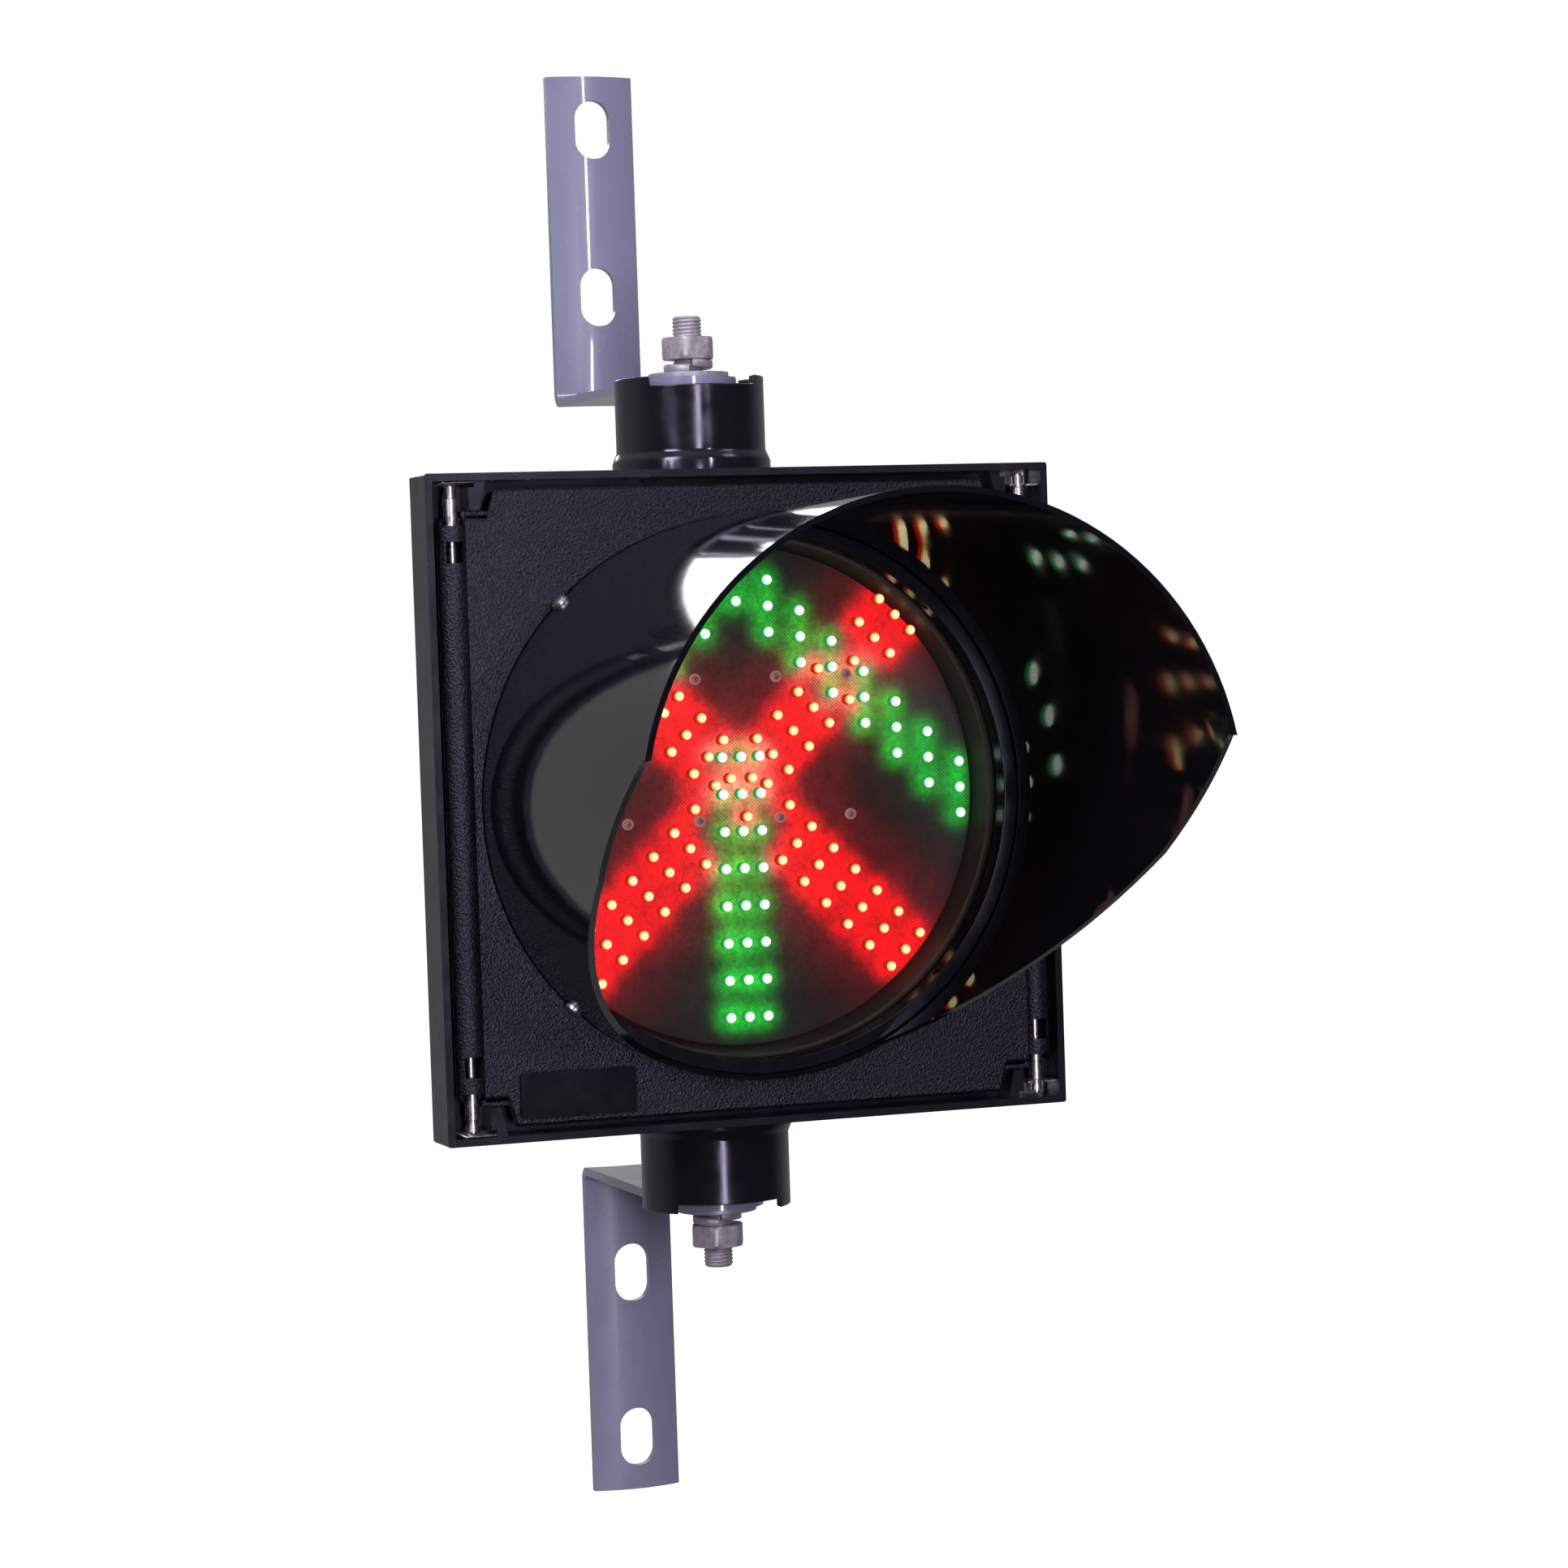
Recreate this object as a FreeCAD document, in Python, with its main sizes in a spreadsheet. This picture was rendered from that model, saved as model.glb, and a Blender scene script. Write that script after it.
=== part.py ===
import FreeCAD, Part
import math
import os
import re

import Sketcher

# Lane-control signal: one square black signal head with an inset door, a long cut-away
# visor, an LED module that shows a diagonal cross or an up arrow, and two steel L brackets
# that hold the head by an M16 stud at the top and at the bottom.
#
# Frame: millimetres, +Z up, the front faces -Y. The origin is on the pole, midway between
# the brackets: Y = 0 is the plane that the bracket plates' edges press on.
# Depths named *_depth are measured backwards from the front plane of the head.

DIMENSIONS = [
    # places of the main planes
    ("front_y", -255), ("swivel_depth", 86), ("pin_x", 160), ("pin_depth", 6),
    # housing frame
    ("head_half", 175), ("lip", 4), ("corner_round", 1.5), ("rim_depth", 30),
    ("flange_front", 20), ("flange_back", 24), ("flange_open_half", 150),
    ("block_low", 155.7), ("block_outer", 151), ("block_inner_low", 145.5),
    ("block_inner_top", 141.7), ("block_front", 2), ("block_step_x", 148.1),
    ("block_step_z", 167.6),
    # housing shell
    ("shell_half", 169), ("shell_wide_half", 168), ("shell_knee_depth", 34),
    ("shell_taper_half", 138), ("shell_taper_depth", 112), ("shell_back_half", 112),
    ("shell_depth", 130), ("wall", 3), ("rear_round", 8), ("socket_gap", 0.2),
    ("grommet_hole", 12), ("grommet_z", -104), ("cable", 3),
    # terminal block
    ("terminal_half", 32), ("terminal_low", -150), ("terminal_high", -132),
    ("terminal_front", 98), ("terminal_back", 127), ("terminal_pitch", 10),
    ("terminal_hole", 2.5), ("terminal_hole_deep", 9),
    # door
    ("door_top", 166.6), ("door_face", 1), ("door_back", 5),
    ("door_bevel", 1.4), ("barrel_end", 151.2), ("barrel", 8), ("notch_half", 141.5),
    ("notch_half_top", 137.2), ("panel_side", 165.5), ("skirt_half", 134),
    ("skirt_thick", 2.5), ("skirt_depth", 16), ("rib_half", 155), ("rib_inner", 153), ("rib_depth", 17),
    ("door_hole", 150.2), ("pin_bore", 5), ("pin_bore_low", 100), ("tail_bore", 2.8),
    ("tail_bore_low", 88), ("window_half", 4.7), ("window_low", 128.4),
    ("window_high", 139.4), ("pin_notch_half", 5.9), ("pin_notch_low", 147.7),
    ("pin_notch_depth", 10.2), ("label_left", -135.5), ("label_right", -71.5),
    ("label_low", -163), ("label_high", -138.4), ("label_sink", 0.6),
    # door pins, turned in one piece: tail, flange, shank, shoulder, groove, flared head
    ("pin", 2.4), ("pin_tail", 99), ("pin_flange", 4.6), ("pin_flange_low", 122),
    ("pin_flange_high", 124), ("shoulder", 3.65), ("shoulder_low", 141.5),
    ("groove", 2.7), ("groove_low", 161.9), ("groove_high", 163.6), ("flare", 3.2),
    ("flare_top", 167.9), ("spigot", 2), ("spigot_top", 169.5), ("bush_low", 140.5),
    ("bush_bore", 3.75), ("spring_wire", 0.45), ("spring_turns", 6),
    # corner plates of thin stainless sheet
    ("sheet", 1), ("hinge_plate_low", 168.1), ("hinge_hole", 2.3), ("hinge_left", -169.8),
    ("hinge_right", -148.4), ("ramp_start", 4.6), ("ramp_tip_depth", 1),
    ("ramp_tip_z", 170.8), ("ramp_corner", 5.6), ("latch_plate_low", 162.4),
    ("latch_left", 153.3), ("latch_right", 169.8), ("latch_slot_half", 3.4),
    # hubs
    ("hub_top", 228), ("hub_seat", 223), ("hub_outer", 41), ("hub_flare", 43.5),
    ("hub_flare_top", 182), ("hub_flare_end", 188), ("hub_inner", 36), ("hub_core", 14),
    ("hub_core_top", 214), ("stud_bore", 8.3), ("notch_left", 31), ("notch_right", 26.5),
    ("notch_rear", 68),
    # studs, nuts and washers
    ("stud", 8), ("stud_low", 146), ("stud_high", 262), ("nut_flats", 27), ("nut_tall", 12),
    ("nut_face", 13), ("nut_chamfer", 1.7), ("washer_outer", 22), ("washer_thick", 3),
    ("spring_outer", 13.5), ("spring_thick", 7.5), ("inner_washer_outer", 15),
    # brackets
    ("arm_half", 26), ("steel", 5), ("crown", 5), ("plate_end", 415.4), ("bend", 8),
    ("bend_inner", 4), ("arm_hole", 8.6), ("slot_half_wide", 10.5), ("slot_long", 34),
    ("slot_near", 287), ("slot_far", 384.5),
    # visor
    ("visor_base", 149.6), ("visor_tip", 153), ("visor_wall", 3), ("visor_long", 276),
    ("visor_seat", 5), ("visor_cut_z", 30), ("visor_foot", 12), ("visor_screw_depth", -6),
    ("visor_screw", 2), ("visor_screw_head", 5),
    # optical module
    ("ring_outer", 146.4), ("ring_inner", 139), ("ring_front", -12), ("lens", 144),
    ("lens_thick", 3.5), ("module_flange", 151.6), ("module_flange_back", 8),
    ("module_outer", 140), ("module_inner", 137.5), ("module_depth", 70),
    ("module_floor", 2.5), ("module_taper", 4), ("board", 134), ("board_front", 25),
    ("board_thick", 1.6), ("clip_inner", 147), ("clip_riser", 152), ("clip_outer", 161),
    ("clip_half", 6), ("clip_sheet", 1.5), ("clip_screw", 1.5), ("clip_screw_head", 3),
    ("clip_screw_at", 157.5), ("clip_screw_deep", 2.5),
    # driver board and what it carries
    ("driver_depth", 50), ("driver_wide", 75), ("driver_tall", 50), ("driver_hole", 5),
    ("coil_left", -56), ("coil_right", -30), ("coil_low", -16), ("coil_high", 18),
    ("coil_tall", 20), ("can", 7), ("can_tall", 18), ("can_pitch", 18), ("can_first", 12),
    ("can_row", 24), ("plug_half", 18), ("plug_low", -70), ("plug_high", -56),
    ("plug_tall", 14), ("plug_wall", 2), ("plug_floor", 3),
    # board screws and spacers
    ("screw_far", 63.5), ("screw_near", 23), ("screw_high", 63.5), ("screw_low", -12.5),
    ("screw_shank", 1.5), ("screw_hole", 1.6), ("screw_head", 3), ("screw_deep", 8),
    ("spacer", 4),
    # light emitting diodes: the arrow is a chevron and a shaft, the cross two diagonals
    ("led", 2.5), ("led_collar", 2.9), ("led_front", 17.5), ("led_clear", 6.5),
    ("symbol_z", 3.6), ("chevron_x", 18), ("chevron_z", 14), ("chevron_fall", 17),
    ("chevron_low", 101), ("chevron_limit", 122), ("shaft_x", 10.6), ("shaft_z", 20),
    ("shaft_top", 17.6), ("cross_reach", 128.9), ("cross_gap", 12.3), ("cross_rows", 16),
]

doc = FreeCAD.newDocument("LaneSignal")
sizes = doc.addObject("Spreadsheet::Sheet", "Sizes")
for row, (alias, value) in enumerate(DIMENSIONS, start=1):
    sizes.set("A%d" % row, alias)
    sizes.set("B%d" % row, str(value))
    sizes.setAlias("B%d" % row, alias)
doc.recompute()
ALIASES = {alias for alias, value in DIMENSIONS}
parts = []


# ------------------------------------------------------------------ helpers

def full(text):
    """Turn words of the sheet in a formula into references to their cells."""
    return re.sub(r"[a-z_]+", lambda m: "Sizes." + m[0] if m[0] in ALIASES else m[0], text)


def mm(text):
    """The present value of a formula."""
    return float(sizes.evalExpression(full(text)))


def new_body(label):
    body = doc.addObject("PartDesign::Body", label)
    body.Label = label
    return body


def keep(item, label=None):
    """Note a finished sub-part; its label names its file."""
    if label:
        item.Label = label
    parts.append(item)
    return item


def place(item, x="0", y="0", z="0"):
    for axis, text in zip("xyz", (x, y, z)):
        item.setExpression(".Placement.Base." + axis, full(text))


def new_sketch(body, role, offset="0"):
    sketch = body.newObject("Sketcher::SketchObject", body.Name + "_sketch")
    plane = next(f for f in body.Origin.OriginFeatures if f.Role == role)
    sketch.AttachmentSupport = [(plane, "")]
    sketch.MapMode = "FlatFace"
    sketch.setExpression("AttachmentOffset.Base.z", full(offset))
    return sketch


def pin_point(sketch, geometry, end, x, y):
    """Tie one sketch point to the sheet in both directions."""
    for kind, axis, text in (("DistanceX", -2, x), ("DistanceY", -1, y)):
        if text == "0":
            sketch.addConstraint(Sketcher.Constraint("PointOnObject", geometry, end, axis))
            continue
        row = sketch.addConstraint(Sketcher.Constraint(kind, -1, 1, geometry, end, mm(text)))
        sketch.setExpression("Constraints[%d]" % row, full(text))


def outline(sketch, points):
    """A closed run of straight lines through formula points."""
    first = sketch.GeometryCount
    ends = [FreeCAD.Vector(mm(x), mm(y), 0) for x, y in points]
    count = len(points)
    for i in range(count):
        sketch.addGeometry(Part.LineSegment(ends[i], ends[(i + 1) % count]), False)
    for i in range(count):
        follower = first + (i + 1) % count
        sketch.addConstraint(Sketcher.Constraint("Coincident", first + i, 2, follower, 1))
    for i, (x, y) in enumerate(points):
        pin_point(sketch, first + i, 1, x, y)


def box_outline(sketch, left, right, low, high):
    outline(sketch, [(left, low), (right, low), (right, high), (left, high)])


def square(sketch, half):
    box_outline(sketch, "-" + half, half, "-" + half, half)


def ring_edge(sketch, radius, x="0", y="0"):
    centre = FreeCAD.Vector(mm(x), mm(y), 0)
    circle = Part.Circle(centre, FreeCAD.Vector(0, 0, 1), mm(radius))
    index = sketch.addGeometry(circle, False)
    row = sketch.addConstraint(Sketcher.Constraint("Radius", index, mm(radius)))
    sketch.setExpression("Constraints[%d]" % row, full(radius))
    pin_point(sketch, index, 3, x, y)


def upright_slot(sketch, half_wide, long, y):
    """A slot with round ends, its length along the sketch's second axis."""
    radius = mm(half_wide)
    reach = mm("(%s)/2 - (%s)" % (long, half_wide))
    middle = mm(y)
    up = FreeCAD.Vector(0, 0, 1)
    centres = [FreeCAD.Vector(0, middle + reach, 0), FreeCAD.Vector(0, middle - reach, 0)]
    side = FreeCAD.Vector(radius, 0, 0)
    top = Part.ArcOfCircle(Part.Circle(centres[0], up, radius), 0, math.pi)
    low = Part.ArcOfCircle(Part.Circle(centres[1], up, radius), math.pi, 2 * math.pi)
    left = Part.LineSegment(centres[0] - side, centres[1] - side)
    right = Part.LineSegment(centres[1] + side, centres[0] + side)
    chain = [sketch.addGeometry(piece, False) for piece in (top, left, low, right)]
    for i in range(4):
        follower = chain[(i + 1) % 4]
        sketch.addConstraint(Sketcher.Constraint("Tangent", chain[i], 2, follower, 1))
    row = sketch.addConstraint(Sketcher.Constraint("Radius", chain[0], radius))
    sketch.setExpression("Constraints[%d]" % row, full(half_wide))
    reach_text = "((%s)/2 - (%s))" % (long, half_wide)
    pin_point(sketch, chain[0], 3, "0", y + " + " + reach_text)
    pin_point(sketch, chain[2], 3, "0", y + " - " + reach_text)


OFFSET_SIGN = {"XY_Plane": "", "XZ_Plane": "-", "YZ_Plane": ""}


def slab(body, role, low, high, draw, cut=False):
    """Extrude a sketch between two coordinates along its plane's normal."""
    middle = "%s((%s) + (%s))/2" % (OFFSET_SIGN[role], low, high)
    sketch = new_sketch(body, role, middle)
    draw(sketch)
    kind = "PartDesign::Pocket" if cut else "PartDesign::Pad"
    feature = body.newObject(kind, body.Name + ("_cut" if cut else "_pad"))
    feature.Profile = sketch
    feature.SideType = "Symmetric"
    feature.setExpression("Length", full("(%s) - (%s)" % (high, low)))
    return feature


def turned(body, points, role="XZ_Plane", cut=False):
    """Revolve a closed outline about its sketch's vertical axis."""
    sketch = new_sketch(body, role)
    outline(sketch, points)
    kind = "PartDesign::Groove" if cut else "PartDesign::Revolution"
    feature = body.newObject(kind, body.Name + ("_groove" if cut else "_turned"))
    feature.Profile = sketch
    feature.ReferenceAxis = (sketch, ["V_Axis"])
    feature.Angle = 360
    return feature


def edges_where(feature, test):
    """Names of a feature's edges whose middle and direction pass a test."""
    names = []
    for index, edge in enumerate(feature.Shape.Edges, start=1):
        middle = edge.valueAt((edge.FirstParameter + edge.LastParameter) / 2)
        if test(edge, middle):
            names.append("Edge%d" % index)
    return names


def round_edges(body, feature, radius, test):
    doc.recompute()
    fillet = body.newObject("PartDesign::Fillet", body.Name + "_round")
    fillet.Base = (feature, edges_where(feature, test))
    fillet.setExpression("Radius", full(radius))
    return fillet


def group(label, prototype, places):
    """One node of separate equal solids, each at its own placement."""
    doc.recompute()
    shapes = [prototype.Shape.transformed(where.toMatrix()) for where in places]
    node = doc.addObject("Part::Feature", label)
    node.Shape = Part.makeCompound(shapes)
    return keep(node, label)


def mirrored(label, source, normal):
    twin = doc.addObject("Part::Mirroring", label)
    twin.Source = source
    twin.Normal = normal
    return keep(twin, label)


def at(x, y, z):
    return FreeCAD.Placement(FreeCAD.Vector(x, y, z), FreeCAD.Rotation())


def turn_y(degrees):
    """A turn about the Y axis."""
    spin = FreeCAD.Rotation(FreeCAD.Vector(0, 1, 0), degrees)
    return FreeCAD.Placement(FreeCAD.Vector(0, 0, 0), spin)


UP = FreeCAD.Vector(0, 0, 1)
RIGHT = FreeCAD.Vector(1, 0, 0)
SIGNS = (1, -1)


# ------------------------------------------------------------------ brackets

def make_brackets():
    body = new_body("upper_bracket")
    arm_back = "-crown - steel/2"
    swivel_y = "front_y + swivel_depth"
    arm_top = "hub_seat + steel"
    slab(body, "XY_Plane", "hub_seat", arm_top,
         lambda s: box_outline(s, "-arm_half", "arm_half", swivel_y, arm_back))
    slab(body, "XY_Plane", "hub_seat", arm_top, lambda s: ring_edge(s, "arm_half", "0", swivel_y))
    slab(body, "XY_Plane", "hub_seat", arm_top, lambda s: crowned_section(s, "(steel + 3)"))
    slab(body, "XY_Plane", "hub_seat", "plate_end", lambda s: crowned_section(s, "steel"))
    last = slab(body, "XY_Plane", "hub_seat - 1", arm_top + " + 1",
                lambda s: ring_edge(s, "arm_hole", "0", swivel_y), cut=True)
    half_arc = mm("arm_half")
    seat = mm("hub_seat")

    def outer_bend(edge, middle):
        return abs(middle.z - seat) < 0.01 and middle.y > -mm("crown") - 0.5 \
            and abs(middle.x) < 1 and edge.Length > half_arc

    last = round_edges(body, last, "bend", outer_bend)
    inner_y = -mm("crown") - mm("steel")
    inner_z = mm(arm_top)

    def inner_bend(edge, middle):
        return abs(middle.z - inner_z) < 0.01 and abs(middle.y - inner_y) < 0.6 \
            and abs(middle.x) < 1 and edge.Length > half_arc

    round_edges(body, last, "bend_inner", inner_bend)
    for centre in ("slot_near", "slot_far"):
        slab(body, "XZ_Plane", "-crown - steel - 4", "4",
             lambda s: upright_slot(s, "slot_half_wide", "slot_long", centre), cut=True)
    keep(body)
    mirrored("lower_bracket", body, UP)


def crowned_section(sketch, thick):
    """Plan of the bracket plate: a strip bowed forwards, hollow towards the pole."""
    half, crown, steel = mm("arm_half"), mm("crown"), mm(thick)
    rear = [(-half, 0), (0, -crown), (half, 0)]
    arcs = []
    for shift in (0, -steel):
        ends = [FreeCAD.Vector(x, y + shift, 0) for x, y in rear]
        arcs.append(sketch.addGeometry(Part.Arc(*ends), False))
    corner = [FreeCAD.Vector(side * half, y, 0) for side in (1, -1) for y in (0, -steel)]
    right = sketch.addGeometry(Part.LineSegment(corner[0], corner[1]), False)
    left = sketch.addGeometry(Part.LineSegment(corner[2], corner[3]), False)
    radius = "(arm_half*arm_half + crown*crown)/(2*crown)"
    tie = sketch.addConstraint
    for arc in arcs:
        row = tie(Sketcher.Constraint("Radius", arc, mm(radius)))
        sketch.setExpression("Constraints[%d]" % row, full(radius))
    for line, x in ((right, "arm_half"), (left, "-arm_half")):
        pin_point(sketch, line, 1, x, "0")
        pin_point(sketch, line, 2, x, "-" + thick)
    for arc, end in ((arcs[0], 1), (arcs[1], 2)):
        geometry = sketch.Geometry[arc]
        at_right = geometry.StartPoint.x > 0
        first, second = (1, 2) if at_right else (2, 1)
        tie(Sketcher.Constraint("Coincident", arc, first, right, end))
        tie(Sketcher.Constraint("Coincident", arc, second, left, end))


# ------------------------------------------------------------------ head

def make_housing_frame():
    """Square rim with an inner flange, a socket behind it and a block beside each pin."""
    body = new_body("housing_frame")
    last = slab(body, "XZ_Plane", "0", "rim_depth", lambda s: square(s, "head_half"))
    half = mm("head_half")
    round_edges(body, last, "corner_round",
                lambda edge, middle: abs(middle.x) > half - 1 and abs(middle.z) > half - 1)
    slab(body, "XZ_Plane", "-1", "flange_front",
         lambda s: square(s, "(head_half - lip)"), cut=True)
    slab(body, "XZ_Plane", "flange_front - 1", "flange_back + 1",
         lambda s: square(s, "flange_open_half"), cut=True)
    slab(body, "XZ_Plane", "flange_back", "rim_depth + 1",
         lambda s: box_outline(s, "-(shell_wide_half + socket_gap)",
                               "shell_wide_half + socket_gap", "-(shell_half + socket_gap)",
                               "shell_half + socket_gap"), cut=True)
    for side in ("", "-"):
        for level in ("", "-"):
            top = level + "(head_half - lip + 1)"
            low = level + "block_low"
            step_x, step_z = side + "block_step_x", level + "block_step_z"
            slab(body, "XZ_Plane", "block_front", "flange_front + 1", lambda s: outline(s, [
                (step_x, top), (side + "block_inner_top", top), (side + "block_inner_low", low),
                (side + "block_outer", low), (side + "block_outer", step_z),
                (step_x, step_z)]))
    place(body, y="front_y")
    keep(body)


def shell_plan(sketch, inset):
    """Plan of the housing behind its rim; inset is the wall for the inner outline."""
    start = "flange_back" if inset == "0" else "flange_back - 1"
    side = [("shell_wide_half", start), ("shell_wide_half - 1.5", "shell_knee_depth"),
            ("shell_taper_half", "shell_taper_depth"), ("shell_back_half", "shell_depth")]
    points = []
    for x, depth in side:
        deeper = "" if depth != "shell_depth" else " - (%s)" % inset
        points.append(("(%s) - (%s)" % (x, inset), "(%s)%s" % (depth, deeper)))
    points += [("-(%s)" % x, depth) for x, depth in reversed(points)]
    outline(sketch, points)


def make_housing_shell():
    """Tapered sleeve behind the frame, with a hole for each hub's stud."""
    body = new_body("housing_shell")
    last = slab(body, "XY_Plane", "-shell_half", "shell_half", lambda s: shell_plan(s, "0"))
    doc.recompute()
    back = mm("shell_depth")
    wide = mm("shell_back_half")
    tall = mm("shell_half")

    def rear_corner(edge, middle):
        upright = edge.BoundBox.ZLength > tall
        return upright and abs(middle.y - back) < 0.1 and abs(abs(middle.x) - wide) < 0.1

    round_edges(body, last, "rear_round", rear_corner)
    slab(body, "XY_Plane", "-shell_half + wall", "shell_half - wall",
         lambda s: shell_plan(s, "wall"), cut=True)
    for side in ("", "-"):
        slab(body, "XY_Plane", side + "shell_half - 8", side + "shell_half + 8",
             lambda s: ring_edge(s, "stud_bore", "0", "swivel_depth"), cut=True)
    slab(body, "XZ_Plane", "shell_depth - wall - 1", "shell_depth + 1", back_outline, cut=True)
    place(body, y="front_y")
    keep(body)


def back_outline(sketch):
    box_outline(sketch, "-(shell_back_half - wall)", "shell_back_half - wall",
                "-(shell_half - wall)", "shell_half - wall")


def make_housing_back():
    """Rear panel set flush in the sleeve, with the cable's hole."""
    body = new_body("housing_back")
    slab(body, "XZ_Plane", "shell_depth - wall", "shell_depth", back_outline)
    slab(body, "XZ_Plane", "shell_depth - wall - 1", "shell_depth + 1",
         lambda s: ring_edge(s, "grommet_hole", "0", "grommet_z"), cut=True)
    place(body, y="front_y")
    keep(body)


def make_grommet():
    body = new_body("cable_grommet")
    lip = "grommet_hole + 4"
    turned(body, [("cable", "shell_depth - wall - 3"), (lip, "shell_depth - wall - 3"),
                  (lip, "shell_depth - wall"), ("grommet_hole", "shell_depth - wall"),
                  ("grommet_hole", "shell_depth"), (lip, "shell_depth"),
                  (lip, "shell_depth + 3"), ("cable + 4", "shell_depth + 9"),
                  ("cable", "shell_depth + 9")],
           role="XY_Plane")
    place(body, y="front_y", z="grommet_z")
    keep(body)


def make_terminals():
    body = new_body("terminal_block")
    slab(body, "XY_Plane", "terminal_low", "terminal_high",
         lambda s: box_outline(s, "-terminal_half", "terminal_half",
                               "terminal_front", "terminal_back"))
    middle_z = "(terminal_low + terminal_high)/2"
    for step in range(6):
        across = "terminal_pitch*%g" % (step - 2.5)
        slab(body, "XZ_Plane", "terminal_front - 1", "terminal_front + terminal_hole_deep",
             lambda s: ring_edge(s, "terminal_hole", across, middle_z), cut=True)
    place(body, y="front_y")
    keep(body)


def make_hubs():
    body = new_body("upper_hub")
    turned(body, [("stud_bore", "shell_half"), ("hub_core", "shell_half"),
                  ("hub_core", "hub_core_top"), ("hub_inner", "hub_core_top"),
                  ("hub_inner + 1", "shell_half"), ("hub_flare", "shell_half"),
                  ("hub_flare", "hub_flare_top"), ("hub_flare - 1", "hub_flare_top + 2.5"),
                  ("hub_outer", "hub_flare_end"), ("hub_outer", "hub_top"),
                  ("hub_inner", "hub_top"), ("hub_inner", "hub_seat"),
                  ("stud_bore", "hub_seat")])
    reach = "(hub_outer + 7)"
    far_x, far_y = reach + "*sin(notch_rear)", reach + "*cos(notch_rear)"
    slab(body, "XY_Plane", "hub_seat", "hub_top + 1",
         lambda s: box_outline(s, "-notch_left", "notch_right", "-(%s)" % reach, "0"), cut=True)
    slab(body, "XY_Plane", "hub_seat", "hub_top + 1",
         lambda s: outline(s, [("0", "0"), (far_x, far_y), (far_x, reach),
                               ("-" + far_x, reach), ("-" + far_x, far_y)]), cut=True)
    place(body, y="front_y + swivel_depth")
    keep(body)
    mirrored("lower_hub", body, UP)


def make_stud_set():
    """Stud, nuts and washers of the upper hub, each with its twin below."""
    arm_top = "hub_seat + steel"
    washer_top = "(%s + washer_thick)" % arm_top
    spring_top = "(%s + spring_thick)" % washer_top
    stud = new_body("upper_stud")
    turned(stud, [("0", "stud_low"), ("stud - 1.2", "stud_low"), ("stud", "stud_low + 1.2"),
                  ("stud", "stud_high - 1.5"), ("stud - 1.5", "stud_high"), ("0", "stud_high")])
    plate = new_body("upper_plate_washer")
    slab(plate, "XY_Plane", arm_top, washer_top,
         lambda s: (ring_edge(s, "washer_outer"), ring_edge(s, "stud")))
    spring = new_body("upper_spring_washer")
    slab(spring, "XY_Plane", washer_top, spring_top,
         lambda s: (ring_edge(s, "spring_outer"), ring_edge(s, "stud")))
    slab(spring, "XY_Plane", washer_top + " - 1", spring_top + " + 1",
         lambda s: outline(s, [("-1.5", "-6"), ("1.5", "-6"), ("3.5", "-16"), ("0.5", "-16")]),
         cut=True)
    nut = make_nut("upper_nut", spring_top)
    inner_washer = new_body("upper_inner_washer")
    slab(inner_washer, "XY_Plane", "shell_half - wall - washer_thick", "shell_half - wall",
         lambda s: (ring_edge(s, "inner_washer_outer"), ring_edge(s, "stud")))
    inner_nut = make_nut("upper_inner_nut", "(shell_half - wall - washer_thick - nut_tall)")
    for body in (stud, plate, spring, nut, inner_washer, inner_nut):
        place(body, y="front_y + swivel_depth")
        keep(body)
        mirrored(body.Label.replace("upper", "lower"), body, UP)


def make_nut(label, low):
    """A hexagon nut with both rims turned off at 30 degrees."""
    nut = new_body(label)
    corner = "nut_flats/2/cos(30)"
    points = [("(%s)*sin(%d)" % (corner, 60 * i), "(%s)*cos(%d)" % (corner, 60 * i))
              for i in range(6)]
    slab(nut, "XY_Plane", low, low + " + nut_tall",
         lambda s: (outline(s, points), ring_edge(s, "stud")))
    edge = "nut_flats/2 + 2.5"
    for base, step in ((low, "+"), (low + " + nut_tall", "-")):
        turned(nut, [("nut_face", base), (edge, base),
                     (edge, "%s %s nut_chamfer" % (base, step))], cut=True)
    return nut


# ------------------------------------------------------------------ door

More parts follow.
